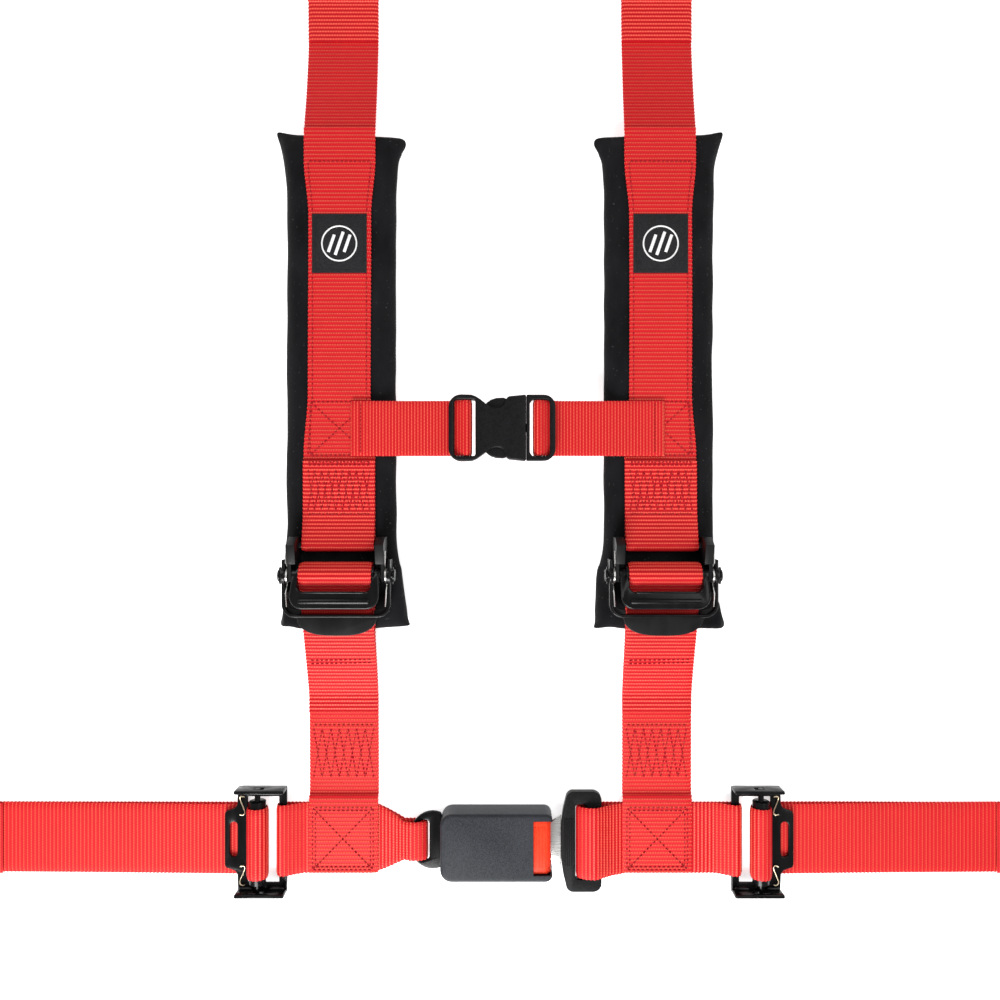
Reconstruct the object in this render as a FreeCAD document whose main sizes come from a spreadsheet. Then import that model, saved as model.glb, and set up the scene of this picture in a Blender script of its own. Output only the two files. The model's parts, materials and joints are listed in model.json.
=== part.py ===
import FreeCAD, Part
import os
import Sketcher

# Four-point racing harness lying flat on the floor, in millimetres.
# +X runs to the tongue side of the lap buckle, +Y up the shoulder straps, +Z off the floor.
# The origin is the middle of the footprint, on the floor. Widths across the harness are
# measured from its centre line, lengths along the shoulder straps from the lap belt's line.

SIZES = {
    # overall
    "overall_width": 854.0,          # lap anchor end to lap anchor end
    "overall_length": 706.0,         # lap adjuster's edge to shoulder anchor end
    "shoulder_offset": 111.5,        # centre line to each shoulder strap
    # webbing
    "webbing_width": 50.0,
    "webbing_thickness": 1.5,
    "sternum_width": 38.0,
    "sternum_thickness": 1.2,
    "layer_gap": 0.3,                # between layers that may slide
    # pads
    "pad_length": 343.0,
    "pad_waist": 76.0,
    "pad_end_width": 86.0,
    "pad_thickness": 16.0,
    "pad_start": 152.0,              # lap line to the pad's lower end
    "pad_flare": 60.0,
    "label_width": 38.0,
    "label_length": 41.0,
    "label_thickness": 0.8,
    "label_start": 398.0,
    # shoulder adjusters
    "pin_reach": 189.0,              # lap line to the pivot pin
    "pin_height": 11.0,               # above the pad
    "pin_radius": 2.5,
    "pin_length": 80.0,
    "pin_head_radius": 4.2,
    "pin_head_length": 1.8,
    "drum_radius": 7.5,
    "drum_length": 52.0,
    "running_clearance": 0.08,
    "wrap_clearance": 0.15,
    "frame_width": 74.0,
    "frame_plate": 2.2,
    "frame_drop": 28.0,              # pin to the frame's lower edge
    "frame_rise": 12.0,
    "frame_height": 17.0,
    "tab_width": 56.0,
    "tab_length": 13.0,
    "tab_thickness": 2.0,
    "tab_height": 10.5,               # above the pad
    "lever_width": 66.0,
    "lever_arm": 3.2,
    "lever_bar_start": 7.0,          # pin to the near side of the lever's bar
    "lever_bar_depth": 15.0,
    "lever_bar_height": 5.5,
    "lever_bar_level": 18.5,          # above the pad
    "bracket_plate": 2.4,
    "bracket_tab_width": 6.0,
    "bracket_tab_start": 8.0,
    "bracket_tab_length": 18.0,
    "bracket_height": 20.0,           # above the pad
    "strap_bar_radius": 2.4,
    "strap_bar_reach": 20.0,         # pin to the bar that holds the shoulder strap
    "spring_wire": 1.0,
    "spring_radius": 4.0,
    "spring_leg": 22.0,
    # pull tails and lower straps
    "tail_end": 89.5,
    # lap adjusters
    "lap_adjuster_left": 171.5,
    "lap_adjuster_right": 184.5,
    "lap_adjuster_height": 75.0,
    "lap_adjuster_width": 38.0,
    "lap_plate": 2.5,
    "lap_plate_level": 0.25,          # above the lap belt
    "lap_flange_height": 12.0,
    "lap_tab_width": 41.0,
    "lap_tab_length": 9.0,
    "lap_slot_width": 25.0,
    "lap_slot_depth": 5.6,
    "inner_bar_width": 5.5,
    "inner_bar_reach": 17.75,
    "window_start": 7.2,
    "window_share": 0.48,             # of the room beside the webbing
    "sliding_bar_radius": 5.9,
    "sliding_bar_height": 6.8,        # above the lap belt
    "sliding_bar_reach": 1.0,
    "sliding_bar_end": 2.0,
    "sliding_bar_travel": 2.0,
    # anchors
    "anchor_width": 60.0,
    "anchor_nose": 30.0,
    "anchor_length": 62.0,
    "anchor_plate": 3.0,
    "anchor_bar": 8.0,
    "anchor_slot": 54.0,
    "anchor_slot_depth": 9.5,
    "anchor_bolt_radius": 5.75,
    "anchor_bolt_reach": 38.0,       # strap bar to the bolt hole
    # sternum clip
    "sternum_reach": 290.0,
    "sternum_end_left": 103.5,
    "sternum_end_right": 114.0,
    "clip_width": 46.0,
    "clip_height": 10.0,
    "clip_wall": 2.0,
    "clip_bar": 4.0,
    "clip_bar_left": 23.5,
    "clip_bar_right": 27.0,
    "clip_loop_end_left": 35.2,
    "clip_loop_end_right": 38.0,
    "clip_socket_start": 16.0,
    "clip_mouth": 17.9,
    "clip_socket_width": 37.0,
    "prong_width": 4.5,
    "prong_reach": 26.0,
    "prong_barb": 1.1,               # stays inside the mouth, so the clip slides free
    "prong_offset": 10.0,
    "clip_gap": 0.3,
    # lap buckle
    "buckle_left": 41.4,
    "buckle_right": 36.4,
    "buckle_width": 47.0,
    "buckle_height": 22.0,
    "buckle_split": 11.0,
    "buckle_wall": 1.8,
    "steel_width": 32.0,
    "steel_plate": 1.6,
    "loop_plate": 3.0,
    "loop_end": 65.0,
    "loop_width": 41.0,
    "loop_bar": 6.5,
    "rivet_radius": 2.0,
    "rivet_offset": 7.0,
    "blade_thickness": 2.4,
    "blade_width": 22.0,
    "blade_tip": 14.0,
    "blade_window": 9.0,
    "button_width": 37.0,
    "button_length": 14.0,
    "button_opening": 13.4,
    "latch_pivot": 18.0,
    "latch_gap": 1.2,                # blade to the pawl's plate
    "tooth_clearance": 0.25,         # tooth to blade, so the tongue slides free
    "latch_width": 14.0,
    "latch_pin_radius": 1.5,
    # tongue
    "grip_start": 43.0,
    "grip_end": 72.0,
    "grip_width": 70.5,
    "grip_height": 6.0,
    "grip_slot": 53.0,
    "grip_bar": 10.0,
}

doc = FreeCAD.newDocument("racing_harness")
sheet = doc.addObject("Spreadsheet::Sheet", "Sizes")
for row, (alias, number) in enumerate(SIZES.items(), start=1):
    sheet.set(f"A{row}", alias)
    sheet.set(f"B{row}", str(number))
    sheet.setAlias(f"B{row}", alias)
doc.recompute()


class Size:
    """A length that knows both its number and the expression that gives it."""

    def __init__(self, text, number):
        self.text = text
        self.number = number

    def __add__(self, other):
        other = as_size(other)
        return Size(f"({self.text} + {other.text})", self.number + other.number)

    def __sub__(self, other):
        other = as_size(other)
        return Size(f"({self.text} - {other.text})", self.number - other.number)

    def __mul__(self, other):
        other = as_size(other)
        return Size(f"({self.text} * {other.text})", self.number * other.number)

    def __truediv__(self, other):
        other = as_size(other)
        return Size(f"({self.text} / {other.text})", self.number / other.number)

    def __radd__(self, other):
        return as_size(other) + self

    def __rsub__(self, other):
        return as_size(other) - self

    def __rmul__(self, other):
        return as_size(other) * self

    def __neg__(self):
        return as_size(0) - self


def as_size(value):
    """Any plain number as a Size."""
    return value if isinstance(value, Size) else Size(repr(float(value)), float(value))


def size(alias):
    """A driving dimension of the sheet."""
    return Size(f"Sizes.{alias}", SIZES[alias])


def bind(thing, path, value):
    """Tie one property to an expression of the sheet."""
    thing.setExpression(path, as_size(value).text)


NODES = []


def new_body(label, x=0, y=0, z=0):
    """An empty body of its own name, standing at a place tied to the sheet."""
    body = doc.addObject("PartDesign::Body", label)
    body.Label = label
    for axis, place in (("x", x), ("y", y), ("z", z)):
        bind(body, f"Placement.Base.{axis}", place)
    NODES.append(body)
    return body


def new_sketch(body, role, offset=0):
    """A sketch on one of the body's own origin planes, moved along the plane's normal."""
    sketch = body.newObject("Sketcher::SketchObject", f"{body.Name}_outline")
    plane = next(item for item in body.Origin.OriginFeatures if item.Role == role)
    sketch.AttachmentSupport = [(plane, "")]
    sketch.MapMode = "FlatFace"
    bind(sketch, "AttachmentOffset.Base.z", offset)
    return sketch


def pin_point(sketch, geometry, position, point):
    """Hold one point of a sketch at two sizes."""
    for kind, path in (("DistanceX", 0), ("DistanceY", 1)):
        place = as_size(point[path])
        index = sketch.addConstraint(Sketcher.Constraint(kind, geometry, position, place.number))
        bind(sketch, f"Constraints[{index}]", place)


def add_polygon(sketch, points):
    """A closed outline through points that are tied to the sheet."""
    corners = [FreeCAD.Vector(as_size(a).number, as_size(b).number, 0) for a, b in points]
    first = len(sketch.Geometry)
    count = len(corners)
    for turn, corner in enumerate(corners):
        sketch.addGeometry(Part.LineSegment(corner, corners[(turn + 1) % count]), False)
    for turn in range(count):
        follower = first + (turn + 1) % count
        sketch.addConstraint(Sketcher.Constraint("Coincident", first + turn, 2, follower, 1))
    for turn, point in enumerate(points):
        pin_point(sketch, first + turn, 1, point)


def add_circle(sketch, centre, radius):
    """A circle whose centre and radius are tied to the sheet."""
    radius = as_size(radius)
    middle = FreeCAD.Vector(as_size(centre[0]).number, as_size(centre[1]).number, 0)
    ring = sketch.addGeometry(Part.Circle(middle, FreeCAD.Vector(0, 0, 1), radius.number), False)
    pin_point(sketch, ring, 3, centre)
    index = sketch.addConstraint(Sketcher.Constraint("Radius", ring, radius.number))
    bind(sketch, f"Constraints[{index}]", radius)


def extrude(body, role, length, polygons=(), circles=(), offset=0, both=False, cut=False):
    """Pad or pocket a sketch of polygons and circles along the plane's normal."""
    sketch = new_sketch(body, role, offset)
    for points in polygons:
        add_polygon(sketch, points)
    for centre, radius in circles:
        add_circle(sketch, centre, radius)
    kind = "PartDesign::Pocket" if cut else "PartDesign::Pad"
    feature = body.newObject(kind, f"{body.Name}_{'cut' if cut else 'solid'}")
    feature.Profile = sketch
    bind(feature, "Length", length)
    feature.Midplane = both
    if cut:
        feature.Reversed = not both
    sketch.Visibility = False
    doc.recompute()
    return feature


def rect(x0, x1, y0, y1):
    """The corners of a rectangle."""
    return [(x0, y0), (x1, y0), (x1, y1), (x0, y1)]


def round_edges(body, radius, wanted):
    """Fillet the edges of the body so far that pass a test."""
    base = body.Tip
    names = [f"Edge{index}" for index, edge in enumerate(base.Shape.Edges, start=1) if wanted(edge)]
    if not names:
        raise ValueError(f"{body.Label}: no edge to round")
    fillet = body.newObject("PartDesign::Fillet", f"{body.Name}_round")
    fillet.Base = (base, names)
    bind(fillet, "Radius", radius)
    doc.recompute()


def upright(edge):
    """True for a straight edge along Z."""
    if len(edge.Vertexes) != 2 or not isinstance(edge.Curve, Part.Line):
        return False
    return abs(edge.Curve.Direction.z) > 0.999


def ribbon(line, thickness):
    """The outline of a strap seen edge on: its lower line and the same line one thickness up."""
    return list(line) + [(a, b + thickness) for a, b in reversed(line)]


WEB = size("webbing_width")
WEB_T = size("webbing_thickness")
GAP = size("layer_gap")
PAD_T = size("pad_thickness")
LAP_LINE = size("lap_adjuster_height") / 2 - size("overall_length") / 2
LAP_STACK = 2 * WEB_T + 0.2
SIDES = (("left", -1), ("right", 1))

PIN_Y = size("pin_reach")
PIN_Z = PAD_T + size("pin_height")
TAB_Z = PAD_T + size("tab_height")
LEVER_Z = PAD_T + size("lever_bar_level")
BRACKET_TOP = PAD_T + size("bracket_height")
LAP_LEVEL = LAP_STACK + size("lap_plate_level")
SLIDE_Z = LAP_STACK + size("sliding_bar_height")
WINDOW = WEB + (size("lap_adjuster_height") - WEB) * size("window_share")
DRUM_WRAP = size("drum_radius") + size("wrap_clearance") + WEB_T
BAR_WRAP = size("strap_bar_radius") + size("wrap_clearance") + WEB_T
BAR_Y = PIN_Y + size("strap_bar_reach")
BAR_Z = PAD_T + BAR_WRAP

ANCHOR_HOLE = size("anchor_bar") / 2 + 0.4
ANCHOR_WRAP = ANCHOR_HOLE + WEB_T
ANCHOR_TAIL = size("anchor_length") - size("anchor_bar") / 2
SHOULDER_END = size("overall_length") / 2 - LAP_LINE - ANCHOR_TAIL
LAP_END = size("overall_width") / 2 - ANCHOR_TAIL

STERNUM_T = size("sternum_thickness")
CLIP_HOLE = size("clip_bar") * 0.72 + 0.2
CLIP_WRAP = CLIP_HOLE + STERNUM_T
STERNUM_Z = PAD_T + WEB_T + 0.1
CLIP_Z = STERNUM_Z + CLIP_WRAP

GRIP_HOLE = size("grip_bar") / 2 + 0.95
GRIP_WRAP = GRIP_HOLE + WEB_T
BLADE_Z = GRIP_WRAP
LOOP_HOLE = size("loop_bar") / 2 + 0.5
LOOP_WRAP = LOOP_HOLE + WEB_T


def shoulder_pad(side, sign):
    """The padded sleeve: waisted, wider at both ends, flat here because it lies on the floor."""
    body = new_body(f"shoulder_pad_{side}", sign * size("shoulder_offset"), LAP_LINE)
    low, high = size("pad_start"), size("pad_start") + size("pad_length")
    end, waist, flare = size("pad_end_width") / 2, size("pad_waist") / 2, size("pad_flare")
    outline = [(-end, low), (end, low), (waist, low + flare), (waist, high - flare),
               (end, high), (-end, high), (-waist, high - flare), (-waist, low + flare)]
    extrude(body, "XY_Plane", PAD_T, [outline])
    round_edges(body, 6, upright)


def pad_label(side, sign):
    """The plain woven patch sewn on the shoulder strap."""
    body = new_body(f"pad_label_{side}", sign * size("shoulder_offset"), LAP_LINE)
    half, start = size("label_width") / 2, size("label_start")
    outline = rect(-half, half, start, start + size("label_length"))
    extrude(body, "XY_Plane", size("label_thickness"), [outline], offset=PAD_T + WEB_T)


def shoulder_strap(side, sign):
    """Upper webbing: looped round the anchor, along the floor, up over the pad, to its bar."""
    body = new_body(f"shoulder_strap_{side}", sign * size("shoulder_offset"), LAP_LINE)
    top = size("pad_start") + size("pad_length")
    line = [(BAR_Y, PAD_T), (top + 1, PAD_T), (top + 34, 0), (SHOULDER_END, 0)]
    loops = [((BAR_Y, BAR_Z), BAR_WRAP), ((SHOULDER_END, ANCHOR_WRAP), ANCHOR_WRAP)]
    holes = [((BAR_Y, BAR_Z), BAR_WRAP - WEB_T), ((SHOULDER_END, ANCHOR_WRAP), ANCHOR_HOLE)]
    extrude(body, "YZ_Plane", WEB, [ribbon(line, WEB_T)], both=True)
    for loop in loops:
        extrude(body, "YZ_Plane", WEB, circles=[loop], both=True)
    extrude(body, "YZ_Plane", WEB + 2, circles=holes, both=True, cut=True)


def lower_strap(side, sign):
    """Lower webbing: sewn on the lap strap, up over the pad's end, round the drum, and the tail."""
    body = new_body(f"lower_strap_{side}", sign * size("shoulder_offset"), LAP_LINE)
    wrap_low = PIN_Z - DRUM_WRAP
    pad_end = size("pad_start")
    sewn = WEB / 2
    line = [(-sewn, LAP_STACK), (sewn + 1, LAP_STACK), (sewn + 11, 0), (pad_end - 52, 0),
            (pad_end - 2, PAD_T + GAP), (PIN_Y, wrap_low)]
    tail_z = WEB_T + 2 * GAP
    tail = [(size("tail_end"), tail_z), (pad_end - 54, tail_z),
            (pad_end - 4, PAD_T + WEB_T + 3 * GAP), (pad_end + 6, PAD_T + WEB_T + 10 * GAP),
            (PIN_Y - 7, PIN_Z + DRUM_WRAP * 0.5)]
    extrude(body, "YZ_Plane", WEB, [ribbon(line, WEB_T)], both=True)
    extrude(body, "YZ_Plane", WEB, [ribbon(tail, WEB_T)], both=True)
    extrude(body, "YZ_Plane", WEB, circles=[((PIN_Y, PIN_Z), DRUM_WRAP)], both=True)
    hole = [((PIN_Y, PIN_Z), DRUM_WRAP - WEB_T)]
    extrude(body, "YZ_Plane", WEB + 2, circles=hole, both=True, cut=True)


def adjuster_frame(side, sign):
    """Outer steel channel: two cheeks that hold the pin, and the half-moon tab over the tail."""
    body = new_body(f"adjuster_frame_{side}", sign * size("shoulder_offset"), LAP_LINE)
    wide = size("frame_width")
    low, high = PIN_Y - size("frame_drop"), PIN_Y + size("frame_rise")
    floor = PAD_T + 0.4
    cheek = [(low, TAB_Z), (low + 8, floor), (high, floor),
             (high, floor + size("frame_height") - 6), (high - 8, floor + size("frame_height")),
             (low + 8, floor + size("frame_height") - 3), (low, TAB_Z + 4)]
    extrude(body, "YZ_Plane", wide, [cheek], both=True)
    inside = rect(low - 1, high + 1, floor - 1, floor + size("frame_height") + 1)
    extrude(body, "YZ_Plane", wide - 2 * size("frame_plate"), [inside], both=True, cut=True)
    half, tab = wide / 2, size("tab_width") / 2
    end = low - size("tab_length")
    plate = [(-half, low + 5), (-half, low), (-tab - 3, low), (-tab, end), (tab, end),
             (tab + 3, low), (half, low), (half, low + 5)]
    extrude(body, "XY_Plane", size("tab_thickness"), [plate], offset=TAB_Z)
    round_edges(body, 9, lambda item: upright(item) and abs(item.Vertexes[0].Y - end.number) < 0.1)
    hole = [((PIN_Y, PIN_Z), size("pin_radius") + size("running_clearance"))]
    extrude(body, "YZ_Plane", wide + 2, circles=hole, both=True, cut=True)


def adjuster_bracket(side, sign):
    """Inner steel bracket: two upright tabs on the pin and the round bar the strap loops on."""
    body = new_body(f"adjuster_bracket_{side}", sign * size("shoulder_offset"), LAP_LINE)
    outer = size("lever_width") / 2
    floor = PAD_T + 0.4
    start = PIN_Y + size("bracket_tab_start")
    end = start + size("bracket_tab_length")
    plate = [(PIN_Y - 4, floor + 3), (PIN_Y - 2, floor), (end, floor), (end, floor + 10),
             (start, floor + 14), (PIN_Y - 4, floor + 14)]
    tab = [(start, floor), (end, floor), (end, BRACKET_TOP - 8),
           (end - 5, BRACKET_TOP), (start, BRACKET_TOP - 3)]
    extrude(body, "YZ_Plane", 2 * outer, [plate], both=True)
    inner = 2 * (outer - size("bracket_plate"))
    extrude(body, "YZ_Plane", inner, [rect(PIN_Y - 5, end + 1, floor - 1, floor + 15)], both=True,
            cut=True)
    extrude(body, "YZ_Plane", 2 * outer, circles=[((BAR_Y, BAR_Z), size("strap_bar_radius"))],
            both=True)
    for way in (-1, 1):
        offset = way * outer if way < 0 else outer - size("bracket_tab_width")
        extrude(body, "YZ_Plane", size("bracket_tab_width"), [tab], offset=offset)
    hole = [((PIN_Y, PIN_Z), size("pin_radius") + size("running_clearance"))]
    extrude(body, "YZ_Plane", 2 * outer + 2, circles=hole, both=True, cut=True)


def adjuster_lever(side, sign):
    """The lifting lever: two arms on the pin and a wide bar across the webbing."""
    body = new_body(f"adjuster_lever_{side}", sign * size("shoulder_offset"), LAP_LINE)
    level, top = LEVER_Z, LEVER_Z + size("lever_bar_height")
    near = PIN_Y - size("lever_bar_start")
    far = near - size("lever_bar_depth")
    wide = size("lever_width")
    bar = [(near, level), (near, top - 2), (near - 2, top), (far + 3, top), (far, top - 3),
           (far, level)]
    arm = [(PIN_Y + 4, PIN_Z - 2), (PIN_Y + 4, PIN_Z + 3), (near, top - 2), (near - 4, top - 1),
           (near - 4, level), (near, level), (PIN_Y - 4, PIN_Z - 2), (PIN_Y, PIN_Z - 4)]
    extrude(body, "YZ_Plane", wide, [bar], both=True)
    outer = wide / 2 - size("bracket_plate") - 0.4
    for way in (-1, 1):
        offset = -outer if way < 0 else outer - size("lever_arm")
        extrude(body, "YZ_Plane", size("lever_arm"), [arm], offset=offset)
    hole = [((PIN_Y, PIN_Z), size("pin_radius") + size("running_clearance"))]
    extrude(body, "YZ_Plane", wide + 2, circles=hole, both=True, cut=True)


def adjuster_drum(side, sign):
    """The roller that the webbing runs round, free on the pin."""
    body = new_body(f"adjuster_drum_{side}", sign * size("shoulder_offset"), LAP_LINE)
    centre = (PIN_Y, PIN_Z)
    extrude(body, "YZ_Plane", size("drum_length"), circles=[(centre, size("drum_radius"))],
            both=True)
    bore = size("pin_radius") + size("running_clearance")
    extrude(body, "YZ_Plane", WEB + 10, circles=[(centre, bore)], both=True, cut=True)


def adjuster_pin(side, sign):
    """The pivot pin with a head and a spring clip outside the cheeks."""
    body = new_body(f"adjuster_pin_{side}", sign * size("shoulder_offset"), LAP_LINE)
    centre = (PIN_Y, PIN_Z)
    length, head = size("pin_length"), size("pin_head_length")
    extrude(body, "YZ_Plane", length, circles=[(centre, size("pin_radius"))], both=True)
    for start in (-length / 2, length / 2 - head):
        extrude(body, "YZ_Plane", head, circles=[(centre, size("pin_head_radius"))], offset=start)


def adjuster_springs(side, sign):
    """The two torsion springs between cheek and bracket, each a closed coil with one leg."""
    coils = []
    wire = size("spring_wire")
    middle = (size("frame_width") / 2 - size("frame_plate") + size("lever_width") / 2) / 2
    for name, way in (("inner", -1), ("outer", 1)):
        coil = doc.addObject("Part::Cylinder", f"spring_coil_{side}_{name}")
        bore = doc.addObject("Part::Cylinder", f"spring_bore_{side}_{name}")
        leg = doc.addObject("Part::Box", f"spring_leg_{side}_{name}")
        start = sign * size("shoulder_offset") + way * middle - wire / 2
        for item, radius in ((coil, size("spring_radius")), (bore, size("pin_radius") + 0.2)):
            bind(item, "Radius", radius)
            bind(item, "Height", wire)
            item.Placement.Rotation = FreeCAD.Rotation(FreeCAD.Vector(0, 1, 0), 90)
            bind(item, "Placement.Base.x", start)
            bind(item, "Placement.Base.y", LAP_LINE + PIN_Y)
            bind(item, "Placement.Base.z", PIN_Z)
        for path, value in (("Length", wire), ("Width", size("spring_leg")), ("Height", wire),
                            ("Placement.Base.x", start),
                            ("Placement.Base.y", LAP_LINE + PIN_Y - size("spring_leg")),
                            ("Placement.Base.z", PIN_Z + 2.8)):
            bind(leg, path, value)
        body = doc.addObject("Part::MultiFuse", f"spring_blank_{side}_{name}")
        body.Shapes = [coil, leg]
        ring = doc.addObject("Part::Cut", f"spring_{side}_{name}")
        ring.Base = body
        ring.Tool = bore
        coils.append(ring)
    pair = doc.addObject("Part::MultiFuse", f"adjuster_springs_{side}")
    pair.Shapes = coils
    pair.Label = f"adjuster_springs_{side}"
    NODES.append(pair)


def inner_lap_strap(side, sign):
    """Doubled webbing between the buckle and a lap adjuster, looped at both ends."""
    body = new_body(f"inner_lap_strap_{side}", 0, LAP_LINE)
    bar = sign * (size(f"lap_adjuster_{side}") - size("inner_bar_reach"))
    outer_hole = size("inner_bar_width") / 2 + 0.45
    outer_wrap = outer_hole + WEB_T
    if side == "left":
        near, near_hole = -(size("loop_end") - size("loop_bar") / 2), LOOP_HOLE
    else:
        near, near_hole = size("grip_end") - 1 - size("grip_bar") / 2, GRIP_HOLE
    near_wrap = near_hole + WEB_T
    stack = rect(near, bar, 0, LAP_STACK) if side == "right" else rect(bar, near, 0, LAP_STACK)
    extrude(body, "XZ_Plane", WEB, [stack], both=True)
    extrude(body, "XZ_Plane", WEB, circles=[((near, near_wrap), near_wrap)], both=True)
    extrude(body, "XZ_Plane", WEB, circles=[((bar, outer_wrap), outer_wrap)], both=True)
    holes = [((near, near_wrap), near_hole), ((bar, outer_wrap), outer_hole)]
    extrude(body, "XZ_Plane", WEB + 2, circles=holes, both=True, cut=True)
    if side == "left":
        narrow = size("loop_width") / 2 - size("loop_bar")
        for way in (-1, 1):
            corner = [(near - 30, way * (WEB / 2 + 1)), (near - 8, way * narrow),
                      (near + 12, way * narrow), (near + 12, way * (WEB / 2 + 1))]
            extrude(body, "XY_Plane", 40, [corner], offset=-10, both=True, cut=True)


def lap_adjuster_frame(side, sign):
    """Pressed steel adjuster: a window for the sliding bar, an inner bar, flanges and a tab."""
    middle = size(f"lap_adjuster_{side}")
    body = new_body(f"lap_adjuster_frame_{side}", sign * middle, LAP_LINE)
    tall = size("lap_adjuster_height") / 2
    inner = size("inner_bar_reach") + size("inner_bar_width") / 2
    outer = size("lap_adjuster_width") - inner - 3
    edge = outer + size("lap_tab_length")
    plate, level = size("lap_plate"), LAP_LEVEL
    tab = size("lap_tab_width") / 2
    outline = [(-inner, -tall), (outer, -tall), (outer, -tab - 6), (edge, -tab), (edge, tab),
               (outer, tab + 6), (outer, tall), (-inner, tall)]
    extrude(body, "XY_Plane", plate, [[(sign * a, b) for a, b in outline]], offset=level)
    for way in (-1, 1):
        wall = rect(-inner * sign, outer * sign, way * tall, way * (tall - plate))
        extrude(body, "XY_Plane", size("lap_flange_height"), [wall], offset=level)
    window = rect(-sign * (size("inner_bar_reach") - size("inner_bar_width") / 2),
                  sign * size("window_start"), -WINDOW / 2, WINDOW / 2)
    depth = size("lap_slot_depth")
    slot = rect(sign * (edge - 4 - depth), sign * (edge - 4), -size("lap_slot_width") / 2,
                size("lap_slot_width") / 2)
    extrude(body, "XY_Plane", plate + 2, [window, slot], offset=level + plate / 2, both=True,
            cut=True)
    half = size("sliding_bar_end") + 0.1
    reach, travel = size("sliding_bar_reach"), size("sliding_bar_travel")
    track = rect(-sign * (reach + half + travel + 0.1), sign * (half - reach),
                 SLIDE_Z - half, SLIDE_Z + half)
    extrude(body, "XZ_Plane", 2 * tall + 2, [track], both=True, cut=True)


def lap_sliding_bar(side, sign):
    """The sprung bar that pinches the belt, with narrow ends in the flange slots."""
    middle = size(f"lap_adjuster_{side}")
    body = new_body(f"lap_sliding_bar_{side}", sign * middle, LAP_LINE)
    centre = (-sign * size("sliding_bar_reach"), SLIDE_Z)
    extrude(body, "XZ_Plane", WINDOW - 4, circles=[(centre, size("sliding_bar_radius"))],
            both=True)
    extrude(body, "XZ_Plane", size("lap_adjuster_height"),
            circles=[(centre, size("sliding_bar_end"))], both=True)


def lap_belt_wrap(side, sign):
    """The turn of belt webbing round the sliding bar."""
    middle = size(f"lap_adjuster_{side}")
    body = new_body(f"lap_belt_wrap_{side}", sign * middle, LAP_LINE)
    centre = (-sign * size("sliding_bar_reach"), SLIDE_Z)
    hole = size("sliding_bar_radius") + 0.1
    extrude(body, "XZ_Plane", WEB, circles=[(centre, hole + WEB_T)], both=True)
    extrude(body, "XZ_Plane", WEB + 2, circles=[(centre, hole)], both=True, cut=True)


def lap_adjuster_springs(side, sign):
    """Two bent wire springs that push the sliding bar, each with three straight legs."""
    wire = size("spring_wire")
    middle = sign * size(f"lap_adjuster_{side}")
    level = LAP_LEVEL + size("lap_plate")
    tall = size("lap_adjuster_height") / 2 - size("lap_plate")
    bar_edge = size("sliding_bar_radius") + WEB_T - size("sliding_bar_reach")
    near, far = bar_edge + 0.9, bar_edge + 5
    legs = []
    for name, way in (("upper", 1), ("lower", -1)):
        long_leg = (far - wire, far, tall - 14, tall - 1)
        hooks = ((near, far, tall - 2, tall - 1), (near, far, tall - 14, tall - 13))
        parts = []
        for index, (u0, u1, v0, v1) in enumerate((long_leg,) + hooks):
            leg = doc.addObject("Part::Box", f"wire_leg_{side}_{name}_{index}")
            start = middle + (u0 if sign > 0 else -u1)
            base = LAP_LINE + (v0 if way > 0 else -v1)
            for path, value in (("Length", u1 - u0), ("Width", v1 - v0), ("Height", wire),
                                ("Placement.Base.x", start), ("Placement.Base.y", base),
                                ("Placement.Base.z", level)):
                bind(leg, path, value)
            parts.append(leg)
        legs.extend(parts)
    pair = doc.addObject("Part::MultiFuse", f"lap_adjuster_springs_{side}")
    pair.Shapes = legs
    pair.Label = f"lap_adjuster_springs_{side}"
    NODES.append(pair)


def lap_belt(side, sign):
    """Outer lap belt with its pull tail on it, from under the adjuster to the anchor's bar."""
    body = new_body(f"lap_belt_{side}", 0, LAP_LINE)
    start = sign * (size(f"lap_adjuster_{side}") - size("sliding_bar_reach"))
    plate_edge = sign * (size(f"lap_adjuster_{side}") + size("window_start"))
    end = sign * LAP_END
    tail = sign * (LAP_END - 16)
    thin = SLIDE_Z - size("sliding_bar_radius") - 0.1 - WEB_T - GAP
    outline = [(start, 0), (end, 0), (end, WEB_T), (tail, WEB_T), (tail, LAP_STACK),
               (plate_edge, LAP_STACK), (plate_edge, thin), (start, thin)]
    extrude(body, "XZ_Plane", WEB, [outline], both=True)
    centre = (end, ANCHOR_WRAP)
    extrude(body, "XZ_Plane", WEB, circles=[(centre, ANCHOR_WRAP)], both=True)
    extrude(body, "XZ_Plane", WEB + 2, circles=[(centre, ANCHOR_HOLE)], both=True, cut=True)


def anchor_outline(along):
    """Outline, strap slot and bolt hole of an anchor plate that points away along one axis."""
    bar = size("anchor_bar") / 2
    wide, nose = size("anchor_width") / 2, size("anchor_nose") / 2
    slot, depth = size("anchor_slot") / 2, size("anchor_slot_depth")
    outline = [(-bar, -wide), (bar + depth + 4, -wide), (ANCHOR_TAIL - 6, -nose),
               (ANCHOR_TAIL, -nose + 6), (ANCHOR_TAIL, nose - 6), (ANCHOR_TAIL - 6, nose),
               (bar + depth + 4, wide), (-bar, wide)]
    window = rect(bar, bar + depth, -slot, slot)
    bolt = (size("anchor_bolt_reach"), as_size(0))
    return [along(*point) for point in outline], [along(*point) for point in window], along(*bolt)


def anchor(label, x, y, along):
    """A bolt-in anchor plate on its strap's loop."""
    body = new_body(label, x, y)
    outline, window, bolt = anchor_outline(along)
    level = ANCHOR_WRAP - size("anchor_plate") / 2
    extrude(body, "XY_Plane", size("anchor_plate"), [outline], offset=level)
    extrude(body, "XY_Plane", size("anchor_plate") + 2, [window], [(bolt, size("anchor_bolt_radius"))],
            offset=ANCHOR_WRAP, both=True, cut=True)


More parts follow.
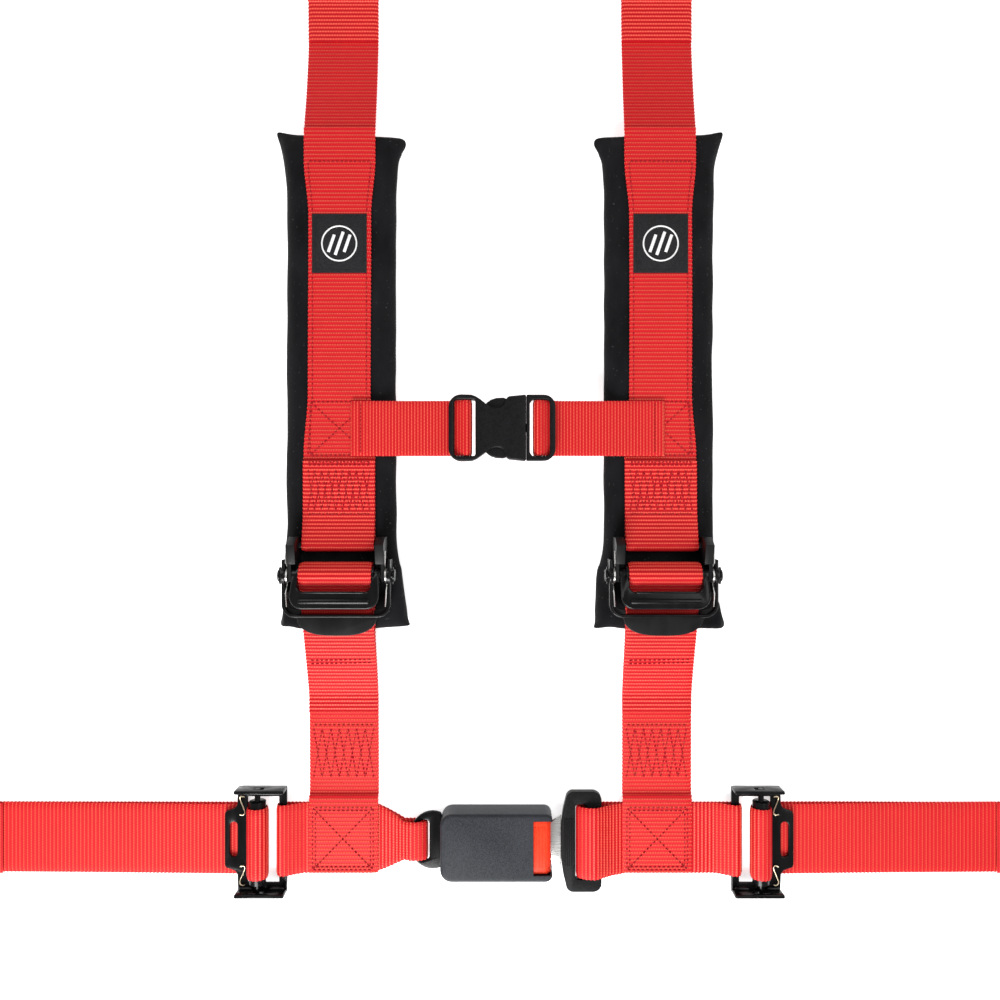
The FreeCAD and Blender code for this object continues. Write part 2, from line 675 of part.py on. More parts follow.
def anchors():
    """Two shoulder anchors that point up the harness and two lap anchors that point outwards."""
    for side, sign in SIDES:
        anchor(f"shoulder_anchor_{side}", sign * size("shoulder_offset"), LAP_LINE + SHOULDER_END,
               lambda a, b: (b, a))
        anchor(f"lap_anchor_{side}", sign * LAP_END, LAP_LINE, lambda a, b, way=sign: (way * a, b))


def sternum_strap(side, sign):
    """Narrow strap, folded double, sewn on the shoulder strap and looped on the clip's bar."""
    body = new_body(f"sternum_strap_{side}", 0, LAP_LINE + size("sternum_reach"))
    bar = sign * size(f"clip_bar_{side}")
    end = sign * size(f"sternum_end_{side}")
    wide = size("sternum_width")
    stack = rect(end, bar, STERNUM_Z, STERNUM_Z + 2 * STERNUM_T)
    extrude(body, "XZ_Plane", wide, [stack], both=True)
    extrude(body, "XZ_Plane", wide, circles=[((bar, CLIP_Z), CLIP_WRAP)], both=True)
    extrude(body, "XZ_Plane", wide + 2, circles=[((bar, CLIP_Z), CLIP_HOLE)], both=True, cut=True)


def clip_loop(body, sign, bar, end, inner):
    """The strap loop of one clip half: end bar over the strap, two rails and the strap's bar."""
    wide = size("clip_width") / 2
    half = size("clip_bar") / 2
    opening = size("sternum_width") / 2 + 0.8
    level = CLIP_Z - size("clip_height") / 2
    extrude(body, "XY_Plane", size("clip_height"), [rect(sign * inner, sign * end, -wide, wide)],
            offset=level)
    first = rect(sign * (inner + 0.1), sign * (bar - half), -opening, opening)
    second = rect(sign * (bar + half), sign * (end - 5), -opening, opening)
    extrude(body, "XY_Plane", size("clip_height") + 2, [first, second], offset=CLIP_Z, both=True,
            cut=True)
    under = STERNUM_Z + 2 * STERNUM_T + GAP
    notch = rect(sign * (bar + half + 0.1), sign * (end + 1), level - 1, under)
    extrude(body, "XZ_Plane", 2 * opening, [notch], both=True, cut=True)
    for low, high in ((level - 1, CLIP_Z - half), (CLIP_Z + half, level + size("clip_height") + 1)):
        slim = rect(sign * (bar - half - 0.1), sign * (bar + half + 0.1), low, high)
        extrude(body, "XZ_Plane", 2 * opening, [slim], both=True, cut=True)


def sternum_socket():
    """Socket half of the clip: strap loop, and a flat hollow housing with two side windows."""
    body = new_body("sternum_socket", 0, LAP_LINE + size("sternum_reach"))
    inner = size("clip_socket_start") + 2
    clip_loop(body, -1, size("clip_bar_left"), size("clip_loop_end_left"), inner)
    high, wall = size("clip_height"), size("clip_wall")
    start, mouth = -inner - 0.2, size("clip_mouth")
    wide = size("clip_socket_width") / 2
    shell = [(start, -wide), (start + 4, -wide + 2), (mouth - 6, -wide), (mouth, -wide - 1),
             (mouth, wide + 1), (mouth - 6, wide), (start + 4, wide - 2), (start, wide)]
    extrude(body, "XY_Plane", high, [shell], offset=CLIP_Z - high / 2)
    hollow = rect(start + 6, mouth + 1, -wide + wall + 0.6, wide - wall - 0.6)
    extrude(body, "XY_Plane", high - 2 * wall, [hollow], offset=CLIP_Z, both=True, cut=True)
    windows = rect(mouth - 28, mouth - 10, -wide - 2, wide + 2)
    extrude(body, "XY_Plane", high - 2 * wall, [windows], offset=CLIP_Z, both=True, cut=True)


def sternum_plug():
    """Plug half of the clip: strap loop, shoulder and the centre guide."""
    body = new_body("sternum_plug", 0, LAP_LINE + size("sternum_reach"))
    mouth = size("clip_mouth") + size("clip_gap")
    clip_loop(body, 1, size("clip_bar_right"), size("clip_loop_end_right"), mouth + 4)
    high, wall = size("clip_height"), size("clip_wall")
    wide = size("clip_socket_width") / 2
    extrude(body, "XY_Plane", high, [rect(mouth, mouth + 4.2, -wide, wide)], offset=CLIP_Z - high / 2)
    guide = rect(mouth - 22, mouth + 1, -3, 3)
    thin = high - 2 * wall - 1
    extrude(body, "XY_Plane", thin, [guide], offset=CLIP_Z - thin / 2)


def sternum_prongs():
    """The two springy prongs of the plug, each with a barb that fills a window."""
    root = size("clip_mouth") - size("clip_gap")
    tip = root - size("prong_reach")
    low, high = size("prong_offset"), size("prong_offset") + size("prong_width")
    barb = high + size("prong_barb")
    thin = size("clip_height") - 2 * size("clip_wall") - 1
    for name, way in (("upper", 1), ("lower", -1)):
        body = new_body(f"sternum_prong_{name}", 0, LAP_LINE + size("sternum_reach"))
        outline = [(root, low), (root, high), (tip + 8, high), (tip + 8, barb), (tip, high),
                   (tip, low)]
        extrude(body, "XY_Plane", thin, [[(a, way * b) for a, b in outline]],
                offset=CLIP_Z - thin / 2)


def cover_outline(inset):
    """The lap buckle's plan, drawn in by a wall."""
    half = size("buckle_width") / 2 - inset
    left, right = -size("buckle_left") + inset, size("buckle_right") - inset
    return [(left + 6, -half), (right - 4, -half), (right, -half + 4), (right, half - 4),
            (right - 4, half), (left + 6, half), (left, half - 7), (left, -half + 7)]


def buckle_bottom_cover():
    """Lower shell of the lap buckle, open for the loop plate and the tongue."""
    body = new_body("buckle_bottom_cover", 0, LAP_LINE)
    wall = size("buckle_wall")
    extrude(body, "XY_Plane", size("buckle_split"), [cover_outline(0)])
    extrude(body, "XY_Plane", size("buckle_split"), [cover_outline(wall)], offset=wall,
            cut=True)
    half = size("steel_width") / 2 + 0.4
    low = LOOP_WRAP - size("loop_plate") / 2 - 0.3
    ends = rect(-size("buckle_left") - 1, size("buckle_right") + 1, low, size("buckle_split") + 1)
    extrude(body, "XZ_Plane", 2 * half, [ends], both=True, cut=True)


def buckle_top_cover():
    """Upper shell of the lap buckle, with the opening for the press button."""
    body = new_body("buckle_top_cover", 0, LAP_LINE)
    wall, split, top = size("buckle_wall"), size("buckle_split") + 0.1, size("buckle_height")
    extrude(body, "XY_Plane", top - split, [cover_outline(0)], offset=split)
    extrude(body, "XY_Plane", top - split - wall, [cover_outline(wall)], offset=split, cut=True)
    half = size("button_width") / 2 + 0.3
    start = size("buckle_right") - size("button_opening")
    opening = rect(start, size("buckle_right") + 1, -half, half)
    extrude(body, "XY_Plane", top, [opening], offset=split, cut=True)


def rivet_circles(radius):
    """The two rivets behind the loop, as circles of one radius."""
    place = -size("buckle_left") + 10
    return [((place, way * size("rivet_offset")), radius) for way in (-1, 1)]


def buckle_frame():
    """Steel channel inside the buckle that carries the latch."""
    body = new_body("buckle_frame", 0, LAP_LINE)
    plate, wide = size("steel_plate"), size("steel_width")
    left, right = -size("buckle_left") + 3, size("buckle_right") - 4
    base = size("buckle_wall") + 0.2
    high = size("buckle_split") + 4
    blank = [(left, base), (right, base), (right, base + 4), (right - 16, base + 8),
             (right - 22, high), (left + 8, high), (left, base + 6)]
    extrude(body, "XZ_Plane", wide, [blank], both=True)
    inside = rect(left - 1, right + 1, base + plate, high + 1)
    extrude(body, "XZ_Plane", wide - 2 * plate, [inside], both=True, cut=True)
    hole = [((-size("latch_pivot"), BLADE_Z + 4), size("latch_pin_radius") + 0.05)]
    extrude(body, "XZ_Plane", wide + 2, circles=hole, both=True, cut=True)
    extrude(body, "XY_Plane", 3 * plate, circles=rivet_circles(size("rivet_radius") + 0.05),
            offset=base + plate / 2, both=True, cut=True)


def buckle_loop():
    """Steel loop that the left lap strap wraps, riveted to the channel's floor."""
    body = new_body("buckle_loop", 0, LAP_LINE)
    plate = size("loop_plate")
    level = LOOP_WRAP - plate / 2
    end, wide, bar = size("loop_end"), size("loop_width") / 2, size("loop_bar")
    inner = size("steel_width") / 2 - size("steel_plate") - 0.3
    left = size("buckle_left")
    outline = [(-end, -wide + 11), (-end + 9, -wide), (-left - 7, -wide), (-left, -inner),
               (-left + 16, -inner), (-left + 16, inner), (-left, inner), (-left - 7, wide),
               (-end + 9, wide), (-end, wide - 11)]
    extrude(body, "XY_Plane", plate, [outline], offset=level)
    slot = rect(-end + bar, -left - 4, -wide + bar, wide - bar)
    extrude(body, "XY_Plane", plate + 2, [slot], rivet_circles(size("rivet_radius") + 0.05),
            offset=level + plate / 2, both=True, cut=True)


def buckle_latch():
    """Latch pawl: a plate on its pin with a tooth down through the tongue's window."""
    body = new_body("buckle_latch", 0, LAP_LINE)
    pivot = -size("latch_pivot")
    low = BLADE_Z + size("blade_thickness") / 2 + size("latch_gap")
    tooth = BLADE_Z + size("blade_thickness") / 2 + size("tooth_clearance")
    profile = [(pivot - 3, low + 1.5), (pivot, low), (0, low), (0, tooth), (4, tooth), (4, low),
               (12, low), (12, low + 2.6),
               (pivot + 4, low + 2.6), (pivot + 3, low + 5), (pivot - 3, low + 5)]
    extrude(body, "XZ_Plane", size("latch_width"), [profile], both=True)
    pin = [((pivot, BLADE_Z + 4), size("latch_pin_radius"))]
    extrude(body, "XZ_Plane", size("steel_width") + 1, circles=pin, both=True)


def coil_spring(label, x, y, z, radius, length, axis):
    """A compression spring as a closed tube, its coils bound."""
    outer = doc.addObject("Part::Cylinder", f"{label}_outer")
    inner = doc.addObject("Part::Cylinder", f"{label}_inner")
    for item, reach in ((outer, radius), (inner, radius - 0.8)):
        bind(item, "Radius", reach)
        bind(item, "Height", length)
        if axis == "x":
            item.Placement.Rotation = FreeCAD.Rotation(FreeCAD.Vector(0, 1, 0), 90)
        for name, place in (("x", x), ("y", y), ("z", z)):
            bind(item, f"Placement.Base.{name}", place)
    tube = doc.addObject("Part::Cut", label)
    tube.Base = outer
    tube.Tool = inner
    return tube


def buckle_inside():
    """Latch spring, button springs, ejector with its spring, and the rivets."""
    latch_top = BLADE_Z + size("blade_thickness") / 2 + size("latch_gap") + 2.8
    cover = size("buckle_height") - size("buckle_wall")
    spring = coil_spring("buckle_latch_spring", -4, LAP_LINE, latch_top, as_size(3),
                         cover - latch_top - 0.2, "z")
    NODES.append(spring)
    button_back = size("buckle_right") - 1 - size("button_length")
    springs = []
    for name, way in (("upper", 1), ("lower", -1)):
        springs.append(coil_spring(f"button_spring_{name}", button_back - 12.3,
                                   LAP_LINE + way * 12, as_size(17), as_size(2.4), as_size(8), "x"))
    pair = doc.addObject("Part::MultiFuse", "button_springs")
    pair.Shapes = springs
    NODES.append(pair)
    ejector = new_body("buckle_ejector", 0, LAP_LINE)
    tip = -size("blade_tip") - 0.3
    block = rect(tip - 6, tip, -size("blade_width") / 2 + 2, size("blade_width") / 2 - 2)
    extrude(ejector, "XY_Plane", size("blade_thickness"), [block],
            offset=BLADE_Z - size("blade_thickness") / 2)
    base = size("buckle_wall") + 0.2
    top = LOOP_WRAP + size("loop_plate") / 2
    rivets = new_body("buckle_rivets", 0, LAP_LINE)
    rivets.AllowCompound = True
    extrude(rivets, "XY_Plane", top - base, circles=rivet_circles(size("rivet_radius")), offset=base)
    extrude(rivets, "XY_Plane", 1.2, circles=rivet_circles(size("rivet_radius") + 1.2), offset=top)


def press_button():
    """The press button at the tongue's end, with a shallow hollow behind its face."""
    body = new_body("press_button", 0, LAP_LINE)
    right = size("buckle_right") - 1
    left = right - size("button_length")
    half = size("button_width") / 2
    low, high = size("buckle_split") + 0.6, size("buckle_height") - size("buckle_wall") - GAP
    profile = [(left, low), (right, low), (right, high - 4), (right - 3, high), (left, high)]
    extrude(body, "XZ_Plane", 2 * half, [profile], both=True)
    hollow = rect(left - 1, right - 3, low + 2, high - 2)
    extrude(body, "XZ_Plane", 2 * half - 6, [hollow], both=True, cut=True)


def tongue():
    """Steel blade with the latch window, and the grip moulded round its wide end."""
    blade = new_body("tongue_blade", 0, LAP_LINE)
    thin, half = size("blade_thickness"), size("blade_width") / 2
    tip, start = -size("blade_tip"), size("grip_start")
    outline = [(tip, -half + 4), (tip + 4, -half), (start - 10, -half), (start, -half - 8),
               (start, half + 8), (start - 10, half), (tip + 4, half), (tip, half - 4)]
    extrude(blade, "XY_Plane", thin, [outline], offset=BLADE_Z - thin / 2)
    window = rect(-2, size("blade_window") - 2, -size("latch_width") / 2 - 1,
                  size("latch_width") / 2 + 1)
    extrude(blade, "XY_Plane", thin + 2, [window], offset=BLADE_Z, both=True, cut=True)
    grip = new_body("tongue_grip", 0, LAP_LINE)
    wide, end = size("grip_width") / 2, size("grip_end")
    shape = [(start, -wide + 14), (start + 5, -wide), (end - 4, -wide), (end, -wide + 10),
             (end, wide - 10), (end - 4, wide), (start + 5, wide), (start, wide - 14)]
    high = size("grip_height")
    extrude(grip, "XY_Plane", high, [shape], offset=BLADE_Z - high / 2)
    slot = rect(size("grip_slot"), end - 1 - size("grip_bar"), -WEB / 2 - 1.5, WEB / 2 + 1.5)
    rim = rect(end - 1, end + 1, -WEB / 2 - 1.5, WEB / 2 + 1.5)
    extrude(grip, "XY_Plane", high + 2, [slot, rim], offset=BLADE_Z, both=True, cut=True)


def build():
    """Every sub-part, side by side where it comes in pairs."""
    pair_makers = (shoulder_pad, pad_label, shoulder_strap, lower_strap, adjuster_frame,
                   adjuster_bracket, adjuster_lever, adjuster_drum, adjuster_pin,
                   adjuster_springs, inner_lap_strap, lap_adjuster_frame, lap_sliding_bar,
                   lap_belt_wrap, lap_adjuster_springs, lap_belt, sternum_strap)
    for make in pair_makers:
        for side, sign in SIDES:
            make(side, sign)
    for make in (anchors, sternum_socket, sternum_plug, sternum_prongs, buckle_bottom_cover,
                 buckle_top_cover, buckle_frame, buckle_loop, buckle_latch, buckle_inside,
                 press_button, tongue):
        make()


def check_and_write():
    """Refuse a failed feature or a bad shape, then write one file for each sub-part."""
    doc.recompute()
    for item in doc.Objects:
        if "Invalid" in item.State or "Error" in item.State:
            raise RuntimeError(f"{item.Label} failed: {item.State}")
    os.makedirs("parts", exist_ok=True)
    for item in NODES:
        if item.Shape.isNull() or not item.Shape.isValid() or item.Shape.Volume <= 0:
            raise RuntimeError(f"{item.Label} has no valid shape")
        item.Shape.exportStep(f"parts/{item.Label}.step")
        print(f"{item.Label}: {item.Shape.Volume:.0f} mm3, {len(item.Shape.Solids)} solid(s)")


build()
check_and_write()
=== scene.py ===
import bmesh
import bpy
import json
import math
from bpy.props import FloatProperty, FloatVectorProperty, IntProperty, PointerProperty
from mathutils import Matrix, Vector, noise


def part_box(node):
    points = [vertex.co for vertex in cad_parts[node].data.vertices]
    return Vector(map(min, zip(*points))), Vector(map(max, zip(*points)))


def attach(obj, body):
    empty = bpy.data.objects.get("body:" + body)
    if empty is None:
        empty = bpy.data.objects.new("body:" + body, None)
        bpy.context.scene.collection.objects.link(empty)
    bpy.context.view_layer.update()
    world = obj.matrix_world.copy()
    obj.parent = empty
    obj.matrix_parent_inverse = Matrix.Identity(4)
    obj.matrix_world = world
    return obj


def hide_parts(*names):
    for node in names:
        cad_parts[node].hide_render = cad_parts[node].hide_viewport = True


bl_info = {
    "name": "Racing harness",
    "version": (1, 0, 0),
    "blender": (4, 5, 0),
    "location": "3D View > Sidebar > Harness",
    "description": "Dresses the harness frame in webbing, pads, stitching and finished hardware",
    "category": "Add Mesh",
}

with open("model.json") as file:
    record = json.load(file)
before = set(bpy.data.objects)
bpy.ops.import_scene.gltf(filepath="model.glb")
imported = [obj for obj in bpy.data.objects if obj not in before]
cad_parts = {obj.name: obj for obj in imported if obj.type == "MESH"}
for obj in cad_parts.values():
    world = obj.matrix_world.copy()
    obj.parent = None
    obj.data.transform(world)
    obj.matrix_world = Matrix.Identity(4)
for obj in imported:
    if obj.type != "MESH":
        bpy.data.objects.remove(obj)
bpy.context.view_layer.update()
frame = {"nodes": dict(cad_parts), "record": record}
SIDES = (("left", -1), ("right", 1))
MM = 0.001
UP = Vector((0, 0, 1))


# Places that everything is built around, read from the frame

def middle(node):
    """The centre of a node's box."""
    low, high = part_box(node)
    return (low + high) / 2


LAP_Y = middle("lap_belt_left").y
STERNUM_Y = middle("sternum_strap_left").y
PAD_LOW, PAD_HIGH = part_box("shoulder_pad_left")
PAD_TOP = PAD_HIGH.z
PIN = middle("adjuster_pin_left")
CAMERA_SHIFT = Vector((0, LAP_Y + 240.5 * MM, 0))


# Sizes and colours that a user may change

class HarnessWebbing(bpy.types.PropertyGroup):
    """How the straps are woven and coloured."""

    colour: FloatVectorProperty(
        name="Webbing colour", description="Dyed colour of the wide straps",
        subtype="COLOR", size=3, min=0, max=1, default=(0.54, 0.002, 0.008))
    # The rib colour is a painted highlight: a paler colour where the ribs catch the light.
    crest_highlight: FloatVectorProperty(
        name="Rib colour", description="Colour where the ribs catch the light",
        subtype="COLOR", size=3, min=0, max=1, default=(1.0, 0.20, 0.11))
    thread: FloatVectorProperty(
        name="Thread colour", description="Colour of the sewing thread",
        subtype="COLOR", size=3, min=0, max=1, default=(0.24, 0.001, 0.006))
    rib_pitch: FloatProperty(
        name="Rib pitch", description="Distance from rib to rib along a wide strap",
        unit="LENGTH", default=2.7 * MM)
    fine_pitch: FloatProperty(
        name="Fine rib pitch", description="Distance from rib to rib on the sternum strap",
        unit="LENGTH", default=2.2 * MM)
    rib_height: FloatProperty(
        name="Rib height", description="How far a rib stands off the webbing",
        unit="LENGTH", default=0.16 * MM)
    stitch: FloatProperty(
        name="Stitch length", description="Length of one stitch of thread",
        unit="LENGTH", default=3.2 * MM)


class HarnessPads(bpy.types.PropertyGroup):
    """How the pads are filled and coloured."""

    nap: FloatVectorProperty(
        name="Nap colour", description="Colour of the suede cover",
        subtype="COLOR", size=3, min=0, max=1, default=(0.003, 0.003, 0.0035))
    voxel: FloatProperty(
        name="Voxel size", description="Mesh size of the pads while they are filled",
        unit="LENGTH", default=5 * MM)
    pressure: FloatProperty(
        name="Filling", description="Pressure that swells the pads", default=4.0)
    slack: FloatProperty(
        name="Slack", description="How much larger the cloth is than the pad it covers",
        default=0.06)
    frames: IntProperty(
        name="Filling steps", description="Steps that the filling takes to settle", default=20)


# Shader maths

class Socket:
    """A shader value that can be used in sums."""

    def __init__(self, finish, link):
        self.finish = finish
        self.link = link

    def math(self, operation, other=0.0, turned=False):
        pair = (other, self) if turned else (self, other)
        return self.finish.node("ShaderNodeMath", {"operation": operation},
                                {0: pair[0], 1: pair[1]})

    def __add__(self, other):
        return self.math("ADD", other)

    def __radd__(self, other):
        return self.math("ADD", other)

    def __sub__(self, other):
        return self.math("SUBTRACT", other)

    def __rsub__(self, other):
        return self.math("SUBTRACT", other, turned=True)

    def __mul__(self, other):
        return self.math("MULTIPLY", other)

    def sine(self):
        return self.math("SINE")

    def above(self, other):
        return self.math("GREATER_THAN", other)

    def clamp(self):
        return self.finish.node("ShaderNodeClamp", {}, {"Value": self})


class Finish:
    """One material under a Principled shader."""

    def __init__(self, name, **constants):
        self.material = bpy.data.materials.new(name)
        self.material.use_nodes = True
        self.tree = self.material.node_tree
        self.shader = self.tree.nodes["Principled BSDF"]
        for key, value in constants.items():
            self.shader.inputs[key.replace("_", " ")].default_value = value

    def node(self, kind, settings, sockets, out=0):
        """A node of one type, its settings, then the values or links of its sockets."""
        made = self.tree.nodes.new(kind)
        for key, value in settings.items():
            setattr(made, key, value)
        for key, value in sockets.items():
            self.feed(made.inputs[key], value)
        return Socket(self, made.outputs[out])

    def feed(self, entry, value):
        """Sets a socket to a number, a colour or a link."""
        if isinstance(value, Socket):
            self.tree.links.new(value.link, entry)
        elif entry.type == "RGBA":
            entry.default_value = (*value, 1)
        else:
            entry.default_value = value

    def set(self, **sockets):
        for key, value in sockets.items():
            self.feed(self.shader.inputs[key.replace("_", " ")], value)

    def place(self, scale=(1, 1, 1)):
        """Object coordinates in millimetres, stretched by a scale."""
        coords = self.node("ShaderNodeTexCoord", {}, {}, out="Object")
        full = tuple(1000 * part for part in scale)
        return self.node("ShaderNodeMapping", {}, {"Vector": coords, "Scale": full})

    def noise(self, vector, scale, detail=2.0, rough=0.5):
        return self.node("ShaderNodeTexNoise", {}, {"Vector": vector, "Scale": scale,
                                                    "Detail": detail, "Roughness": rough})

    def blend(self, share, first, second):
        """One colour turning into another."""
        return self.node("ShaderNodeMix", {"data_type": "RGBA"},
                         {"Factor": share, 6: first, 7: second}, out=2)

    def bump(self, height, strength, distance):
        return self.node("ShaderNodeBump", {}, {"Height": height, "Strength": strength,
                                                "Distance": distance})


# Finishes

def webbing_finish(name, colour, crest_highlight, pitch, dot):
    """Cross-ribbed woven polyester: ribs along the strap, small floats across each rib, and a painted
    highlight on the crowns of the ribs and floats.
    """
    finish = Finish(name, Specular_IOR_Level=0.22)
    coords = finish.node("ShaderNodeUVMap", {"uv_map": "weave"}, {})
    across = finish.node("ShaderNodeSeparateXYZ", {}, {0: coords})
    along = Socket(finish, across.link.node.outputs[1])
    turns = along * (1 / (pitch / MM))
    rib = (turns * math.tau).sine() * 0.5 + 0.5
    odd = turns.math("FLOOR").math("MODULO", 2.0)
    floats = ((across * (1 / dot) + odd * 0.5) * math.tau).sine() * 0.5 + 0.5
    fuzz = finish.noise(finish.place(), 1.6, 3.0)
    wash = finish.noise(finish.place(), 0.035, 3.0)
    crown = (rib * rib * (floats * 0.9 + 0.1)).clamp()
    rib_highlight_mask = (crown * 1.15 + fuzz * 0.2 - 0.34).clamp()
    worn = finish.blend(wash * 0.5, colour, tuple(part * 0.72 for part in colour))
    # Painted highlight: the dyed colour turns paler on the crowns of the ribs and floats.
    finish.set(Base_Color=finish.blend(rib_highlight_mask, worn, crest_highlight),
               Roughness=(0.62 - crown * 0.22).clamp())
    relief = rib * 0.5 + rib * floats * 0.6 + fuzz * 0.12
    finish.set(Normal=finish.bump(relief, 0.75, 0.22 * MM))
    return finish.material


def thread_finish(name, colour):
    """Twisted bonded thread."""
    finish = Finish(name, Specular_IOR_Level=0.2)
    twist = finish.noise(finish.place(), 2.5, 2.0)
    pale = tuple(min(1, part * 1.7 + 0.01) for part in colour)
    finish.set(Base_Color=finish.blend((twist * 1.6 - 0.3).clamp(), colour, pale),
               Roughness=0.5 + twist * 0.2, Normal=finish.bump(twist, 0.4, 0.05 * MM))
    return finish.material


def suede_finish(name, nap):
    """Short napped cloth with lint, and paler streaks of nap that are a painted sheen."""
    finish = Finish(name, Specular_IOR_Level=0.08, Sheen_Weight=0.1, Sheen_Roughness=0.35)
    place = finish.place()
    hairs = finish.noise(place, 1.3, 4.0, 0.7)
    brushed_sheen = finish.noise(finish.place((1, 0.55, 1)), 0.05, 3.0)
    lint = finish.noise(place, 0.62, 1.0).above(0.74)
    light = tuple(part * 3.2 + 0.004 for part in nap)
    # Painted sheen: streaks of nap are painted paler, as where they catch the light.
    base = finish.blend((brushed_sheen * 1.7 - 0.45).clamp(), nap, light)
    base = finish.blend((hairs * 0.9 - 0.2).clamp() * 0.5, base, tuple(p * 2.4 for p in nap))
    finish.set(Base_Color=finish.blend(lint * 0.35, base, (0.1, 0.1, 0.1)),
               Roughness=0.85 + hairs * 0.12)
    finish.set(Normal=finish.bump(hairs, 0.7, 0.35 * MM))
    return finish.material


def coated_steel_finish(name, rough, dust):
    """Black powder or enamel coat on pressed steel, with paler, rougher smears here and there."""
    finish = Finish(name, Coat_Weight=0.05, Coat_Roughness=0.1, Specular_IOR_Level=0.2)
    place = finish.place()
    peel = finish.noise(place, 0.45, 2.0)
    smear = finish.noise(finish.place((1, 0.3, 1)), 0.12, 4.0)
    pits = finish.noise(place, 2.2, 2.0)
    finish.set(Base_Color=finish.blend((smear * 1.4 - 0.4).clamp() * dust,
                                       (0.002, 0.002, 0.0024), (0.014, 0.014, 0.015)),
               Roughness=(smear * 0.22 + rough).clamp())
    finish.set(Normal=finish.bump(peel + pits * 0.25, 0.16, 0.12 * MM))
    return finish.material


def bright_steel_finish(name, colour, rough):
    """Plated steel with fine drawn lines."""
    finish = Finish(name, Metallic=1.0)
    lines = finish.noise(finish.place((0.06, 3.0, 0.5)), 1.0, 3.0)
    spots = finish.noise(finish.place(), 0.3, 3.0)
    shade = tuple(part * 0.72 for part in colour)
    finish.set(Base_Color=finish.blend((spots * 1.5 - 0.4).clamp(), colour, shade),
               Roughness=(lines * 0.25 + rough).clamp(),
               Normal=finish.bump(lines, 0.12, 0.05 * MM))
    return finish.material


def moulded_finish(name, colour, mottle_and_highlight, rough, grain, depth, highlight_share=0.5):
    """Moulded plastic with a spark-eroded grain and a paler random mottle, and a painted highlight on
    the grain's crests.
    """
    finish = Finish(name, Specular_IOR_Level=0.13)
    place = finish.place()
    pebble = finish.noise(place, grain, 2.0, 0.6)
    cloud = finish.noise(place, 0.06, 3.0)
    # Painted highlight: the grain's raised crests get the paler colour, as where they catch the light.
    crest_highlight = ((pebble - 0.5) * 5.0 + 0.5).clamp() * highlight_share
    tinted = finish.blend((cloud * 1.2 - 0.3).clamp() * 0.35, colour, mottle_and_highlight)
    finish.set(Base_Color=finish.blend(crest_highlight, tinted, mottle_and_highlight),
               Roughness=(rough + pebble * 0.18 - 0.09).clamp(),
               Normal=finish.bump(pebble, depth, 0.12 * MM))
    return finish.material


def floor_finish():
    """Plain white paper sweep."""
    finish = Finish("paper", Specular_IOR_Level=0.1, Emission_Strength=0.62,
                    Emission_Color=(1, 1, 1, 1))
    fibre = finish.noise(finish.place(), 0.4, 2.0)
    finish.set(Base_Color=finish.blend(fibre * 0.2, (0.9, 0.9, 0.9), (0.87, 0.87, 0.87)),
               Roughness=0.8 + fibre * 0.1)
    return finish.material


FINISHES = {}


def make_finishes(look, pads):
    """Every material of the harness, once."""
    for name, make, *values in (
            ("webbing", webbing_finish, look.colour, look.crest_highlight, look.rib_pitch, 1.15),
            ("sternum_webbing", webbing_finish, look.colour, look.crest_highlight, look.fine_pitch, 1.0),
            ("thread", thread_finish, tuple(look.thread)),
            ("suede", suede_finish, tuple(pads.nap)),
            ("gloss_black", coated_steel_finish, 0.12, 0.35),
            ("satin_black", coated_steel_finish, 0.34, 0.6),
            ("bright_steel", bright_steel_finish, (0.78, 0.77, 0.75), 0.16),
            ("spring_wire", bright_steel_finish, (0.86, 0.72, 0.50), 0.2),
            ("clip_plastic", moulded_finish, (0.003, 0.003, 0.0035), (0.012, 0.012, 0.013),
             0.42, 1.1, 0.25),
            ("buckle_plastic", moulded_finish, (0.011, 0.012, 0.015), (0.06, 0.064, 0.074),
             0.42, 2.2, 0.5),
            ("button_plastic", moulded_finish, (0.88, 0.03, 0.012), (1.0, 0.09, 0.03),
             0.36, 1.2, 0.1),
            ("label_cloth", moulded_finish, (0.009, 0.009, 0.010), (0.03, 0.03, 0.032),
             0.7, 1.4, 0.8),
            ("label_thread", thread_finish, (0.62, 0.62, 0.62))):
        FINISHES[name] = make(name, *values)


# Mesh helpers

def clean_scene_selection():
    """Leaves edit mode and selects nothing."""
    if bpy.context.object and bpy.context.object.mode != "OBJECT":
        bpy.ops.object.mode_set(mode="OBJECT")
    bpy.ops.object.select_all(action="DESELECT")


def take_up(piece):
    """Makes a piece the only one selected, and the active one."""
    clean_scene_selection()
    piece.select_set(True)
    bpy.context.view_layer.objects.active = piece


def finish_piece(piece, body, finish, slot, nodes=(), smooth=40):
    """Gives a piece its material and body, and hides the nodes that it stands for; the slot is not used.
    """
    piece.data.materials.clear()
    piece.data.materials.append(FINISHES[finish])
    for face in piece.data.polygons:
        face.material_index = 0
    take_up(piece)
    bpy.ops.object.transform_apply(location=True, rotation=True, scale=True)
    bpy.ops.object.shade_smooth_by_angle(angle=math.radians(smooth))
    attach(piece, body)
    if nodes:
        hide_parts(*nodes)
    return piece


def mesh_object(name, grid):
    """A new object from a bmesh."""
    mesh = bpy.data.meshes.new(name)
    grid.to_mesh(mesh)
    grid.free()
    piece = bpy.data.objects.new(name, mesh)
    bpy.context.collection.objects.link(piece)
    return piece


# Webbing

def smooth_path(corners, step):
    """Evenly spaced points on a soft curve through the corners' middles."""
    points = [Vector(corner) for corner in corners]
    line = []
    for turn in range(len(points) - 1):
        before = points[max(turn - 1, 0)]
        start, end = points[turn], points[turn + 1]
        after = points[min(turn + 2, len(points) - 1)]
        pieces = max(2, int((end - start).length / step * 1.5))
        for part in range(pieces):
            share = part / pieces
            bend = ((2 * start) + (end - before) * share
                    + (2 * before - 5 * start + 4 * end - after) * share ** 2
                    + (3 * start - before - 3 * end + after) * share ** 3)
            line.append(bend * 0.5)
    line.append(points[-1])
    lowest = min(point.z for point in points)
    for point in line:
        point.z = max(point.z, lowest)
    return even(line, step)


